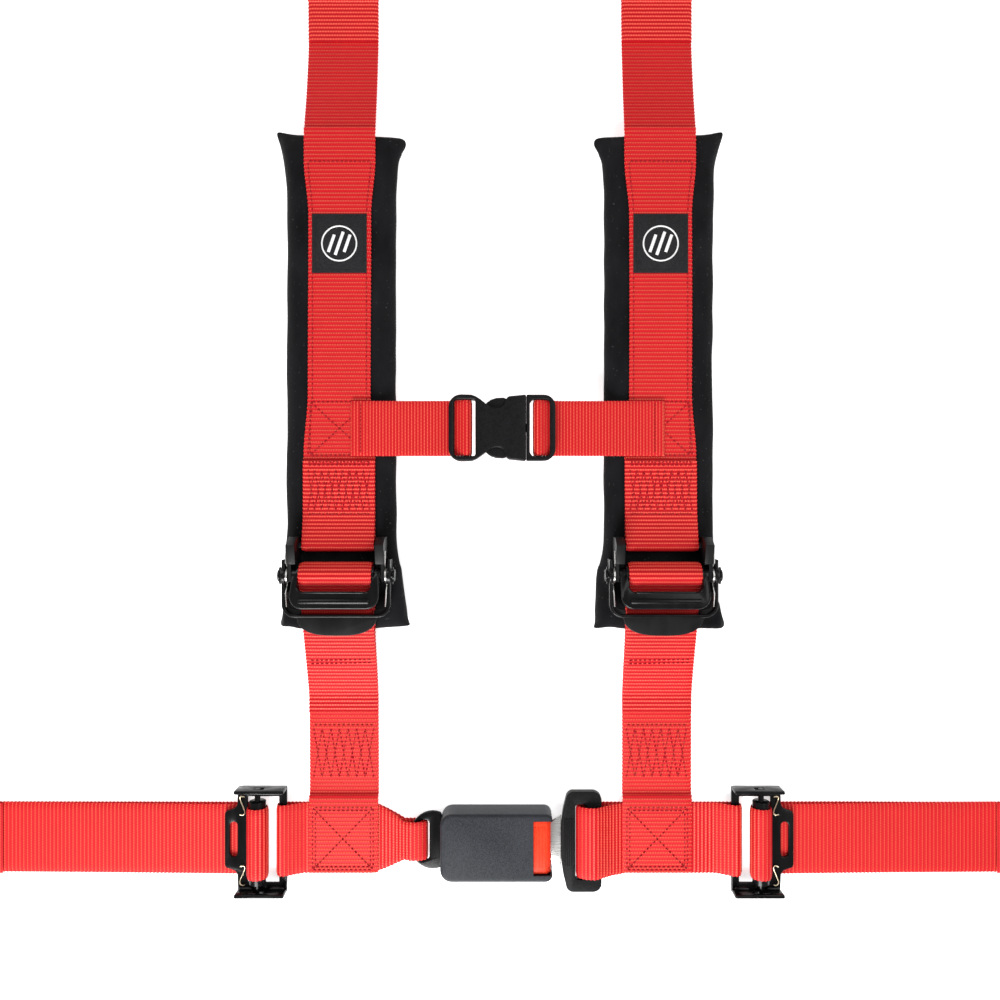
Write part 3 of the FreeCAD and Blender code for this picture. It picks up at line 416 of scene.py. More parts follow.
def even(line, step):
    """The same line in equal steps."""
    lengths = [0.0]
    for first, second in zip(line, line[1:]):
        lengths.append(lengths[-1] + (second - first).length)
    count = max(2, round(lengths[-1] / step))
    result, index = [], 0
    for turn in range(count + 1):
        wanted = lengths[-1] * turn / count
        while index < len(line) - 2 and lengths[index + 1] < wanted:
            index += 1
        span = max(lengths[index + 1] - lengths[index], 1e-9)
        result.append(line[index].lerp(line[index + 1], (wanted - lengths[index]) / span))
    return result


def arc(centre, radius, start, end, plane, count=14):
    """Points on an arc in the plane of two axes, angles in degrees."""
    first, second = plane
    points = []
    for turn in range(count + 1):
        angle = math.radians(start + (end - start) * turn / count)
        points.append(centre + radius * (math.cos(angle) * first + math.sin(angle) * second))
    return points


def weave(name, line, across, width, thick, pitch, rib, body, slot, finish, nodes=(),
          taper=None, wander=0.0, seed=0.0):
    """A ribbed strap along a line of points, with rounded woven edges and a UV in millimetres."""
    step = pitch / 6
    points = even(line, step)
    columns = 18
    grid = bmesh.new()
    sheet = grid.loops.layers.uv.new("weave")
    across = across.normalized()
    rows, places = [], []
    length = 0.0
    for turn, point in enumerate(points):
        if turn:
            length += (point - points[turn - 1]).length
        before, after = points[max(turn - 1, 0)], points[min(turn + 1, len(points) - 1)]
        normal = (after - before).normalized().cross(across).normalized()
        wide = width if taper is None else taper(point)
        wave = math.cos(math.tau * length / pitch)
        scallop = rib * 1.2 * wave
        drift = across * wander * noise.noise(Vector((length * 9, seed, 0.3)))
        row, row_places = [], []
        half = wide / 2 + scallop
        for side in (1, -1):
            for column in range(columns + 1):
                share = side * (column / columns * 2 - 1)
                edge = max(0.0, (abs(share) - 0.9) / 0.1)
                lift = thick / 2 * math.sqrt(max(0.0, 1 - edge ** 2 * 0.93))
                relief = rib * wave * (1 - edge * 0.6)
                height = side * (lift + relief)
                row.append(grid.verts.new(point + drift + across * share * half + normal * height))
                row_places.append((share * half / MM + 40, length / MM))
        rows.append(row)
        places.append(row_places)
    count = len(rows[0])
    for turn in range(len(rows) - 1):
        for column in range(count):
            follow = (column + 1) % count
            corners = (rows[turn][column], rows[turn][follow],
                       rows[turn + 1][follow], rows[turn + 1][column])
            face = grid.faces.new(corners)
            uvs = (places[turn][column], places[turn][follow],
                   places[turn + 1][follow], places[turn + 1][column])
            for loop, uv in zip(face.loops, uvs):
                loop[sheet].uv = uv
    for row in (rows[0], rows[-1]):
        for loop in grid.faces.new(row).loops:
            loop[sheet].uv = (0, 0)
    bmesh.ops.recalc_face_normals(grid, faces=grid.faces)
    piece = mesh_object(name, grid)
    return finish_piece(piece, body, finish, slot, nodes, smooth=60)


# Thread

def stitch_row(points, stitch, gap=0.35):
    """The two ends of every stitch along a line of points."""
    line = even(points, stitch)
    ends = []
    for first, second in zip(line, line[1:]):
        step = (second - first) * (gap / 2)
        ends.append((first + step, second - step))
    return ends


def zigzag(start, end, out, count):
    """Corners of a zigzag between two points, out to one side at every other corner."""
    points = []
    for turn in range(count + 1):
        point = start.lerp(end, turn / count)
        points.append(point + (out if turn % 2 else Vector()))
    return points


def sew(name, runs, normal, stitch, body, slot, finish="thread", thick=0.42 * MM):
    """All the stitches of one sewn area: each a short bent bead of thread."""
    grid = bmesh.new()
    sides = 6
    for run in runs:
        for first, second in stitch_row(run, stitch):
            along = second - first
            side = along.normalized().cross(normal).normalized()
            rings = []
            for share, swell, lift in ((0.0, 0.45, -0.3), (0.25, 0.9, 0.35), (0.75, 0.9, 0.35),
                                       (1.0, 0.45, -0.3)):
                centre = first + along * share + normal * thick * lift
                ring = []
                for turn in range(sides):
                    angle = math.tau * turn / sides
                    ring.append(grid.verts.new(centre + thick * swell * (
                        math.cos(angle) * side + math.sin(angle) * normal)))
                rings.append(ring)
            for low, high in zip(rings, rings[1:]):
                for turn in range(sides):
                    follow = (turn + 1) % sides
                    grid.faces.new((low[turn], low[follow], high[follow], high[turn]))
            grid.faces.new(list(reversed(rings[0])))
            grid.faces.new(rings[-1])
    bmesh.ops.recalc_face_normals(grid, faces=grid.faces)
    piece = mesh_object(name, grid)
    return finish_piece(piece, body, finish, slot, smooth=80)


# Strap routes

def span(node):
    """How far a node's box reaches along each axis."""
    low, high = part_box(node)
    return high - low


def at(x, y, z):
    """A place given in millimetres."""
    return Vector((x, y, z)) * MM


BODY = {node: body for body, nodes in frame["record"]["behaviour"]["bodies"].items()
        for node in nodes}
WIDE = span("lap_belt_left").y
THICK = 1.5 * MM
HALF_T = THICK / 2
STERNUM_WIDE = span("sternum_strap_left").y
BAR = PIN + at(0, 20, 0)
BAR.z = PAD_TOP + 4.05 * MM
STACK = 3.2 * MM
LOOP_NEAR = 61.75 * MM
ALONG = Vector((0, 1, 0))
YZ = (ALONG, UP)


def shoulder_x(sign):
    return sign * abs(PIN.x)


def upright_line(x, places):
    """Points over one strap's middle line, from places along it and heights in metres."""
    return [Vector((x, y, z)) for y, z in places]


def strap_width(y):
    """The shoulder strap's width: drawn in where it lies on the pad."""
    upper = (162 * MM - y) / (39 * MM)
    lower = (y + 45 * MM) / (45 * MM)
    drawn = max(0.0, min(1.0, upper, lower))
    return WIDE - 0.3 * MM - 6.2 * MM * drawn * drawn * (3 - 2 * drawn)


def shoulder_route(x):
    """From the sewn end, round the adjuster's bar, over the pad and down to the anchor."""
    bar = Vector((x, BAR.y, BAR.z))
    loop = Vector((x, 295 * MM, 5.9 * MM))
    top = PAD_TOP + THICK
    line = upright_line(x, [(-48 * MM, top + HALF_T + 0.2 * MM), (-80 * MM, top + HALF_T + 0.3 * MM),
                            (-92 * MM, top + 2.4 * MM)])
    line = smooth_path(line, 1 * MM)
    line += arc(bar, 3.3 * MM, 65, 270, YZ)
    line += upright_line(x, [(BAR.y + 20 * MM, PAD_TOP + HALF_T)])
    over = smooth_path(upright_line(x, [(BAR.y + 30 * MM, PAD_TOP + HALF_T),
                                        (PAD_HIGH.y - 20 * MM, PAD_TOP + HALF_T),
                                        (PAD_HIGH.y + 4 * MM, PAD_TOP - 0.6 * MM),
                                        (PAD_HIGH.y + 32 * MM, 8.5 * MM),
                                        (PAD_HIGH.y + 66 * MM, 2.2 * MM),
                                        (PAD_HIGH.y + 88 * MM, HALF_T),
                                        (loop.y, HALF_T)]), 1 * MM)
    line += over[:-1] + arc(loop, 5.15 * MM, 270, 470, YZ)
    line += upright_line(x, [(loop.y - 16 * MM, THICK + HALF_T + 0.2 * MM),
                             (loop.y - 44 * MM, THICK + HALF_T + 0.1 * MM)])
    return line


def lower_route(x):
    """From the lap strap up under the roller, round it, and back down as the pull tail."""
    start = LAP_Y - WIDE / 2 + 1 * MM
    rise = PAD_LOW.y
    drum = Vector((x, PIN.y, PIN.z))
    line = smooth_path(upright_line(x, [(start, STACK + HALF_T), (LAP_Y + WIDE / 2, STACK + HALF_T),
                                        (LAP_Y + WIDE / 2 + 12 * MM, HALF_T + 0.1 * MM),
                                        (rise - 55 * MM, HALF_T), (rise - 8 * MM, PAD_TOP - 1 * MM),
                                        (rise + 10 * MM, PAD_TOP + 1.2 * MM)]), 1 * MM)
    line += arc(drum, 8.4 * MM, 262, 500, YZ, 40)
    line += smooth_path(upright_line(x, [(rise + 24 * MM, 27.5 * MM), (rise + 6 * MM, 22.5 * MM),
                                         (rise - 6 * MM, 17.8 * MM), (rise - 50 * MM, 2.6 * MM),
                                         (rise - 62.5 * MM, 2.5 * MM)]), 1 * MM)
    return line


def lap_line(sign, places):
    """Points along the lap line, from distances out from the middle and heights."""
    return [Vector((sign * out, LAP_Y, height)) for out, height in places]


def inner_route(side, sign):
    """A closed band of webbing round the buckle's bar and the adjuster's inner bar."""
    plane = (Vector((sign, 0, 0)), UP)
    adjuster = abs(middle(f"lap_sliding_bar_{side}").x) + 1 * MM
    far = adjuster - 17.75 * MM
    near, lift = (LOOP_NEAR, 5.25 * MM) if side == "left" else (66 * MM, 7.45 * MM)
    half = (near + far) / 2
    line = lap_line(sign, [(half, HALF_T), (far - 6 * MM, HALF_T)])
    line += arc(Vector((sign * far, LAP_Y, 4.7 * MM)), 3.95 * MM, -90, 110, plane)
    line += lap_line(sign, [(far - 14 * MM, STACK - HALF_T), (near + 24 * MM, STACK - HALF_T),
                            (near + 12 * MM, lift)])
    turn = arc(Vector((sign * near, LAP_Y, lift)), lift - HALF_T, 75, 270, plane)
    slack = 2.2 if side == "left" else 1.75
    for point in turn:
        over = sign * point.x - near
        if over < 0:
            point.x = sign * (near + over * slack)
    line += turn
    line += lap_line(sign, [(near + 6 * MM, HALF_T), (half - 0.3 * MM, HALF_T)])
    return line


def belt_route(side, sign):
    """The outer belt's lower layer and its turn round the anchor."""
    plane = (Vector((sign, 0, 0)), UP)
    start = abs(middle(f"lap_sliding_bar_{side}").x)
    end = 369 * MM
    line = lap_line(sign, [(start, HALF_T), (end, HALF_T)])
    line += arc(Vector((sign * end, LAP_Y, 5.9 * MM)), 5.15 * MM, -85, 110, plane)
    line += lap_line(sign, [(end - 15 * MM, THICK + HALF_T + 0.2 * MM)])
    return line


def sternum_route(side, sign):
    """Folded double, with its turn round the clip's bar."""
    plane = (Vector((sign, 0, 0)), UP)
    end = sternum_end(side) * MM
    bar = (23.5 if side == "left" else 27) * MM
    low, high, turn = 18.2 * MM, 19.4 * MM, 21.88 * MM
    places = [(end, low), (bar + 2 * MM, low)]
    line = [Vector((sign * out, STERNUM_Y, height)) for out, height in places]
    line += arc(Vector((sign * bar, STERNUM_Y, turn)), turn - low, 270, 75, plane)
    places = [(bar + 13 * MM, high + 0.6 * MM), (bar + 20 * MM, high), (end - 1 * MM, high)]
    line += [Vector((sign * out, STERNUM_Y, height)) for out, height in places]
    return line


def strap(name, node, line, across, width, look, stands_in=True, **options):
    """A wide strap on the body of its node, which it stands in for unless it is a second layer."""
    return weave(name, line, across, width, THICK, look.rib_pitch, look.rib_height, BODY[node],
                 "webbing", "webbing", (node,) if stands_in else (), **options)


class HARNESS_OT_shoulder_straps(bpy.types.Operator):
    """Weaves the two shoulder straps and the two lower straps with their pull tails"""
    bl_idname = "harness.shoulder_straps"
    bl_label = "Weave shoulder straps"

    def execute(self, context):
        look = context.scene.harness_webbing
        across = Vector((1, 0, 0))
        for side, sign in SIDES:
            x = shoulder_x(sign)
            strap(f"shoulder_webbing_{side}", f"shoulder_strap_{side}", shoulder_route(x), across,
                  WIDE, look, taper=lambda point: strap_width(point.y), wander=0.5 * MM, seed=sign)
            strap(f"lower_webbing_{side}", f"lower_strap_{side}", lower_route(x), across, WIDE,
                  look, taper=lambda point: WIDE - 0.8 * MM, wander=0.7 * MM, seed=sign * 3)
        return {"FINISHED"}


def pinched(point):
    """The left inner strap's width: gathered in towards the buckle's loop."""
    open_share = (LOOP_NEAR + 30 * MM - abs(point.x)) / (24 * MM)
    return WIDE - (WIDE - 27 * MM) * max(0.0, min(1.0, open_share)) ** 1.3


class HARNESS_OT_lap_straps(bpy.types.Operator):
    """Weaves the lap belts, their turns round the sliding bars and the inner lap straps"""
    bl_idname = "harness.lap_straps"
    bl_label = "Weave lap straps"

    def execute(self, context):
        look = context.scene.harness_webbing
        for side, sign in SIDES:
            strap(f"inner_lap_webbing_{side}", f"inner_lap_strap_{side}", inner_route(side, sign),
                  ALONG, WIDE, look, taper=pinched if side == "left" else None)
            belt = f"lap_belt_{side}"
            strap(f"lap_webbing_{side}", belt, belt_route(side, sign), ALONG, WIDE, look,
                  wander=0.5 * MM, seed=sign * 5)
            centre = middle(f"lap_sliding_bar_{side}")
            tail = even(lap_line(sign, [(abs(centre.x) + 8.4 * MM, STACK - HALF_T),
                                        (353 * MM, STACK - HALF_T)]), 8 * MM)
            lean = [point + ALONG * (-0.9 + 1.8 * turn / len(tail)) * MM
                    for turn, point in enumerate(tail)]
            narrow = WIDE - 0.6 * MM
            strap(f"lap_tail_{side}", belt, lean, ALONG, narrow, look, False, seed=sign * 7)
            turn = arc(centre, 6.75 * MM, 262, -40, (Vector((sign, 0, 0)), UP), 40)
            strap(f"lap_turn_{side}", f"lap_belt_wrap_{side}", turn, ALONG, narrow, look)
        return {"FINISHED"}


class HARNESS_OT_sternum_straps(bpy.types.Operator):
    """Weaves the two narrow straps of the sternum clip"""
    bl_idname = "harness.sternum_straps"
    bl_label = "Weave sternum straps"

    def execute(self, context):
        look = context.scene.harness_webbing
        for side, sign in SIDES:
            weave(f"sternum_webbing_{side}", sternum_route(side, sign), ALONG, STERNUM_WIDE,
                  1.2 * MM, look.fine_pitch, look.rib_height * 0.8,
                  BODY[f"sternum_strap_{side}"], "sternum_webbing", "sternum_webbing",
                  (f"sternum_strap_{side}",))
        return {"FINISHED"}


# Sewing

def box_cross(x0, x1, y0, y1, z):
    """A sewn box with a cross in it."""
    corners = [at(x0, y0, z), at(x1, y0, z), at(x1, y1, z), at(x0, y1, z)]
    return [corners + [corners[0]], [corners[0], corners[2]], [corners[1], corners[3]]]


def lattice(x, half, low, high, z, count):
    """Two zigzags across a block that cross each other."""
    low, high = at(x - half, low, z), at(x - half, high, z)
    return [zigzag(start, start + at(2 * half, 0, 0), end - start, count)
            for start, end in ((high, low), (low, high))]


def sternum_end(side):
    """How far out a sternum strap's sewn end lies, in millimetres."""
    return 103.5 if side == "left" else 114


def sew_shoulder(side, sign, stitch):
    """The shoulder strap's seams, its zigzag block and the sternum strap's box."""
    x, half = shoulder_x(sign) / MM, WIDE / MM / 2 - 3.4
    body = BODY[f"shoulder_strap_{side}"]
    top = (PAD_TOP + THICK) / MM + 0.15
    double = top + 1.75
    runs = [[at(x + edge * (strap_width(y * MM) / MM / 2 - 3), y, top) for y in range(-44, 161, 6)]
            for edge in (-1, 1)]
    runs.append([at(x - half, 160, top), at(x + half, 160, top)])
    sew(f"pad_seams_{side}", runs, UP, stitch, body, "webbing")
    runs = [[at(x - half, row, double), at(x + half, row, double)] for row in (-51, -85)]
    runs += lattice(x, half, -83, -54, double, 9)
    runs += [zigzag(at(x - half, row, double), at(x + half, row, double), at(0, 2.4, 0), 16)
             for row in (-50, -86)]
    sew(f"zigzag_block_{side}", runs, UP, stitch, body, "webbing")
    drawn = strap_width(-25 * MM) / MM / 2 - 3.2
    sew(f"sternum_box_{side}", box_cross(x - drawn, x + drawn, -44, -7, top), UP, stitch, body,
        "webbing")
    end, row = sign * (sternum_end(side) - 7), STERNUM_Y / MM
    sew(f"sternum_seam_{side}", [[at(end, row - 17, 20.2), at(end, row + 17, 20.2)]], UP,
        stitch * 0.8, BODY[f"sternum_strap_{side}"], "sternum_webbing")


def sew_lower(side, sign, stitch):
    """The lower strap's box on the lap strap, its zigzag block and its tail's seam."""
    x, half = shoulder_x(sign) / MM, WIDE / MM / 2 - 3.5
    body, lap = BODY[f"lower_strap_{side}"], LAP_Y / MM
    sewn, floor = STACK / MM + 1.65, 1.65
    runs = []
    for inset in (0, 2):
        runs += box_cross(x - half + inset, x + half - inset, lap - 22 + inset, lap + 22 - inset,
                          sewn)
    sew(f"lap_box_{side}", runs, UP, stitch, body, "webbing")
    runs = lattice(x, half, lap + 42, lap + 78, floor, 7)
    runs.append([at(x - half, lap + 80, floor), at(x + half, lap + 80, floor)])
    sew(f"lower_block_{side}", runs, UP, stitch, body, "webbing")
    tilt = Vector((0, -math.sin(0.33), math.cos(0.33)))
    runs = []
    for row in (-187.5, -190):
        height = 2.6 + (row + 213.5) * 15.2 / 44 + 0.95
        runs.append([at(x - half, row, height), at(x + half, row + 0.8, height)])
    sew(f"tail_seam_{side}", runs, tilt, stitch, body, "webbing")


class HARNESS_OT_sewing(bpy.types.Operator):
    """Sews the seams, box crosses and zigzag blocks on the straps"""
    bl_idname = "harness.sewing"
    bl_label = "Sew straps"

    def execute(self, context):
        stitch = context.scene.harness_webbing.stitch
        for side, sign in SIDES:
            sew_shoulder(side, sign, stitch)
            sew_lower(side, sign, stitch)
        return {"FINISHED"}


# Pads

def pad_outline(x):
    """The pad's plan: waisted, with pinched ears at the top and a flared lower end."""
    low, high = PAD_LOW.y, PAD_HIGH.y
    waist, end = 39.5 * MM, 44 * MM
    places = []
    for turn in range(29):
        share = turn / 28
        y = low + (high - low) * share
        flare = 1.35 * max(0.0, (0.24 - share) / 0.24) ** 1.4 + max(0.0, (share - 0.88) / 0.12) ** 1.5
        places.append((waist + (end - waist) * min(1.35, flare), y))
    return [(x + w, y) for w, y in places] + [(x - w, y) for w, y in reversed(places)]


class HARNESS_OT_pads(bpy.types.Operator):
    """Cuts, fills and settles the two shoulder pads"""
    bl_idname = "harness.pads"
    bl_label = "Fill pads"

    def execute(self, context):
        look = context.scene.harness_pads
        for side, sign in SIDES:
            x = shoulder_x(sign)
            pad = plate(f"shoulder_padding_{side}", pad_outline(x), 2.2 * MM, PAD_TOP - 2.6 * MM)
            remesh = pad.modifiers.new("even cloth", "REMESH")
            remesh.mode, remesh.voxel_size = "VOXEL", look.voxel
            apply_modifiers(pad)
            fill(pad, look, x)
            settle(pad, x)
            smooth = pad.modifiers.new("smooth", "SUBSURF")
            smooth.levels = smooth.render_levels = 2
            apply_modifiers(pad)
            crease(pad, x, sign)
            finish_piece(pad, BODY[f"shoulder_pad_{side}"], "suede", "pad_fabric",
                         (f"shoulder_pad_{side}",), smooth=75)
        return {"FINISHED"}


def fill(pad, look, x):
    """Swells a pad by slack cloth under pressure, no point far from its start or drawn inwards."""
    start = [vertex.co.copy() for vertex in pad.data.vertices]
    cloth = pad.modifiers.new("filling", "CLOTH")
    cloth.settings.use_pressure = True
    cloth.settings.uniform_pressure_force = look.pressure
    cloth.settings.effector_weights.gravity = 0
    cloth.settings.quality = 4
    cloth.settings.shrink_min = -look.slack
    cloth.point_cache.frame_start, cloth.point_cache.frame_end = 1, look.frames
    for turn in range(1, look.frames + 1):
        bpy.context.scene.frame_set(turn)
    apply_modifiers(pad)
    bpy.context.scene.frame_set(1)
    reach = 6 * MM
    for vertex, first in zip(pad.data.vertices, start):
        move = vertex.co - first
        if move.length > reach:
            move *= reach / move.length
        if move.x * (first.x - x) < 0:
            move.x *= 0.15
        vertex.co = first + move


def settle(pad, x):
    """Presses the pad flat on the floor and under its strap."""
    for vertex in pad.data.vertices:
        place = vertex.co
        place.z = max(place.z, 0.4 * MM)
        off = (abs(place.x - x) - 24 * MM) / (9 * MM)
        ceiling = PAD_TOP - 0.5 * MM + 2.0 * MM * max(0.0, min(1.0, off))
        place.z = min(place.z, ceiling)
        half = 48 * MM
        place.x = x + max(-half, min(half, place.x - x))
        place.y = max(PAD_LOW.y - 2 * MM, min(PAD_HIGH.y + 2 * MM, place.y))


def crease(pad, x, sign):
    """Pinched corner ears, slack folds at the lower end and small ripples along the edges."""
    low, high = PAD_LOW.y, PAD_HIGH.y
    for vertex in pad.data.vertices:
        place = vertex.co
        side = (place.x - x) / (40 * MM)
        top = max(0.0, 1 - (high - place.y) / (22 * MM))
        bottom = max(0.0, 1 - (place.y - low) / (70 * MM))
        edge = max(0.0, abs(side) - 0.55) / 0.45
        place.x += side * top * top * edge * 3.2 * MM
        place.y += top * top * edge * edge * 3.0 * MM
        place.z -= (place.z - 5 * MM) * top * top * edge * 0.45
        fold = noise.noise(Vector((place.x * 55 + sign * 4, place.y * 16, 1.7)))
        place.x += fold * bottom * edge * 7.0 * MM
        place.y += fold * bottom * bottom * edge * 4.0 * MM
        place.z += fold * (bottom * 3.0 + 0.5) * edge * MM * (1 if place.z > 3 * MM else 0.1)
        ripple = noise.noise(Vector((place.x * 30, place.y * 42, sign * 9)))
        place.x += ripple * edge * 0.9 * MM
        place.z = max(place.z, 0.05 * MM)


# Modelling

def plate(name, outline, low, high):
    """A flat outline, drawn from a circle's points and extruded upwards."""
    clean_scene_selection()
    bpy.ops.mesh.primitive_circle_add(vertices=len(outline), radius=1, fill_type="NGON",
                                      location=(0, 0, low))
    piece = bpy.context.object
    piece.name = piece.data.name = name
    for vertex, (x, y) in zip(piece.data.vertices, outline):
        vertex.co = (x, y, 0)
    bpy.ops.object.mode_set(mode="EDIT")
    bpy.ops.mesh.select_all(action="SELECT")
    bpy.ops.mesh.extrude_region_move(TRANSFORM_OT_translate={"value": (0, 0, high - low)})
    bpy.ops.mesh.select_all(action="SELECT")
    bpy.ops.mesh.normals_make_consistent(inside=False)
    bpy.ops.object.mode_set(mode="OBJECT")
    bpy.ops.object.transform_apply(location=True, rotation=True, scale=True)
    return piece


def apply_modifiers(piece):
    """Applies every modifier of a piece in order."""
    take_up(piece)
    for modifier in list(piece.modifiers):
        bpy.ops.object.modifier_apply(modifier=modifier.name)


def round_off(piece, width, segments=3, angle=30):
    """Rounds a piece's sharp edges."""
    bevel = piece.modifiers.new("rounding", "BEVEL")
    bevel.width, bevel.segments = width, segments
    bevel.limit_method, bevel.angle_limit = "ANGLE", math.radians(angle)
    apply_modifiers(piece)
    return piece


def take_out(piece, cutter):
    """Cuts one piece out of another."""
    cut = piece.modifiers.new("cut", "BOOLEAN")
    cut.operation, cut.solver, cut.object = "DIFFERENCE", "EXACT", cutter
    apply_modifiers(piece)
    bpy.data.objects.remove(cutter)
    if not piece.data.polygons:
        raise RuntimeError(f"{piece.name}: the cut left nothing")
    return piece


def gather(name, pieces):
    """Joins separate pieces of one part."""
    clean_scene_selection()
    for piece in pieces:
        piece.select_set(True)
    bpy.context.view_layer.objects.active = pieces[0]
    if len(pieces) > 1:
        bpy.ops.object.join()
    piece = bpy.context.object
    piece.name = piece.data.name = name
    return piece


def rod(name, start, end, radius, soft=0.0, sides=32, flat=1.0):
    """A round bar between two places, its ends softened; flat squashes it upwards."""
    clean_scene_selection()
    run = end - start
    turn = run.to_track_quat("Z", "Y").to_euler()
    bpy.ops.mesh.primitive_cylinder_add(vertices=sides, radius=radius, depth=run.length,
                                        location=(start + end) / 2, rotation=turn)
    piece = bpy.context.object
    piece.name = piece.data.name = name
    bpy.ops.object.transform_apply(location=True, rotation=True, scale=True)
    if flat != 1.0:
        level = (start.z + end.z) / 2
        bpy.ops.object.mode_set(mode="EDIT")
        bpy.ops.mesh.select_all(action="SELECT")
        bpy.ops.transform.resize(value=(1, 1, flat), center_override=(0, 0, level))
        bpy.ops.object.mode_set(mode="OBJECT")
    if soft:
        round_off(piece, soft, 4, 50)
    return piece


def wire(name, points, radius):
    """Round wire through a line of points."""
    clean_scene_selection()
    curve = bpy.data.curves.new(name, "CURVE")
    curve.dimensions = "3D"
    curve.bevel_depth, curve.bevel_resolution, curve.use_fill_caps = radius, 3, True
    spline = curve.splines.new("POLY")
    spline.points.add(len(points) - 1)
    for point, place in zip(spline.points, points):
        point.co = (*place, 1)
    piece = bpy.data.objects.new(name, curve)
    bpy.context.collection.objects.link(piece)
    take_up(piece)
    bpy.ops.object.convert(target="MESH")
    return bpy.context.object


def dress(node, finish, slot, width, segments=3):
    """A copy of a frame node with its edges rounded, in the node's place."""
    piece = bpy.data.objects.new(f"{node}_finished", frame["nodes"][node].data.copy())
    bpy.context.collection.objects.link(piece)
    take_up(piece)
    bpy.ops.object.mode_set(mode="EDIT")
    bpy.ops.mesh.select_all(action="SELECT")
    bpy.ops.mesh.remove_doubles(threshold=0.01 * MM)
    bpy.ops.mesh.dissolve_limited(angle_limit=math.radians(1))
    bpy.ops.object.mode_set(mode="OBJECT")
    round_off(piece, width, segments)
    return finish_piece(piece, BODY[node], finish, slot, (node,))


def paint(node, finish):
    """Gives a frame node its finish."""
    target = frame["nodes"][node]
    for place in target.material_slots:
        place.material = FINISHES[finish]


def corner(x, y, radius, start, end, count=7):
    """An outline's rounded corner, angles in degrees, in millimetres."""
    return [(x + radius * math.cos(math.radians(start + (end - start) * turn / count)),
             y + radius * math.sin(math.radians(start + (end - start) * turn / count)))
            for turn in range(count + 1)]


def placed(outline, x, y):
    """An outline in millimetres moved to its place in metres."""
    return [(x + a * MM, y + b * MM) for a, b in outline]


def mirrored(upper):
    """An outline closed by its own reflection across the middle line."""
    return upper + [(a, -b) for a, b in reversed(upper)]


def block(start, end, half):
    """A rectangle's outline, as wide on both sides of the middle line."""
    return [(start, -half), (end, -half), (end, half), (start, half)]


def ribbing(name, count, first, pitch, reach, low, high, radius, sink):
    """Raised ribs across the top of a box, side by side."""
    ribs = [pin("rib", Vector((low.x + (first + turn * pitch) * MM, LAP_Y, high.z - sink * MM)),
                at(0, reach, 0), radius * MM, 0.3 * MM, 12) for turn in range(count)]
    return gather(name, ribs)


def level_plate(name, outline, y, low, high):
    """A plate on the harness's middle line, its outline in millimetres."""
    return plate(name, placed(outline, 0, y), low, high)


def cut_out(piece, outline, y, low, high):
    """Cuts an upright hole, its outline in millimetres around a place on the middle line."""
    return take_out(piece, level_plate("hole", outline, y, low, high))


def pin(name, centre, out, radius, soft=0.0, sides=32, flat=1.0):
    """A rod that reaches as far to both sides of its centre."""
    return rod(name, centre - out, centre + out, radius, soft, sides, flat)


# Patches

class HARNESS_OT_labels(bpy.types.Operator):
    """Makes the woven patches with a plain ring and three bars"""
    bl_idname = "harness.labels"
    bl_label = "Make patches"

    def execute(self, context):
        for side, _ in SIDES:
            node = f"pad_label_{side}"
            low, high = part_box(node)
            centre = (low + high) / 2
            wide, tall = (high - low).x / 2, (high - low).y / 2
            patch = plate(f"patch_{side}", [(centre.x + a * wide, centre.y + b * tall)
                                            for a, b in ((-1, -1), (1, -1), (1, 1), (-1, 1))],
                          low.z + 0.12 * MM, high.z)
            round_off(patch, 0.25 * MM, 2)
            finish_piece(patch, BODY[node], "label_cloth", "label_fabric", (node,))
            inset = 2.2 * MM
            ring = [Vector((centre.x + a * (wide - inset), centre.y + b * (tall - inset), high.z))
                    for a, b in ((-1, -1), (1, -1), (1, 1), (-1, 1), (-1, -1))]
            sew(f"patch_seam_{side}", [ring], UP, 1.9 * MM, BODY[node], "label_fabric",
                "label_cloth", 0.22 * MM)
            bars = []
            bpy.ops.mesh.primitive_torus_add(location=centre + UP * (high.z - centre.z),
                                             major_radius=12 * MM, minor_radius=0.55 * MM,
                                             major_segments=72, minor_segments=8)
            bars.append(bpy.context.object)
            for shift in (-5.5, 0, 5.5):
                reach = 8 if shift == 0 else 6
                start = centre + at(shift - reach * 0.35, -reach, 0)
                end = centre + at(shift + reach * 0.35, reach, 0)
                start.z = end.z = high.z
                bars.append(rod(f"bar_{side}", start, end, 1.1 * MM, 0.4 * MM, 16, 0.4))
            motif = gather(f"patch_motif_{side}", bars)
            finish_piece(motif, BODY[node], "label_thread", "label_fabric")
        return {"FINISHED"}


# Shoulder adjusters

STEEL = ("gloss_black", "black_steel")


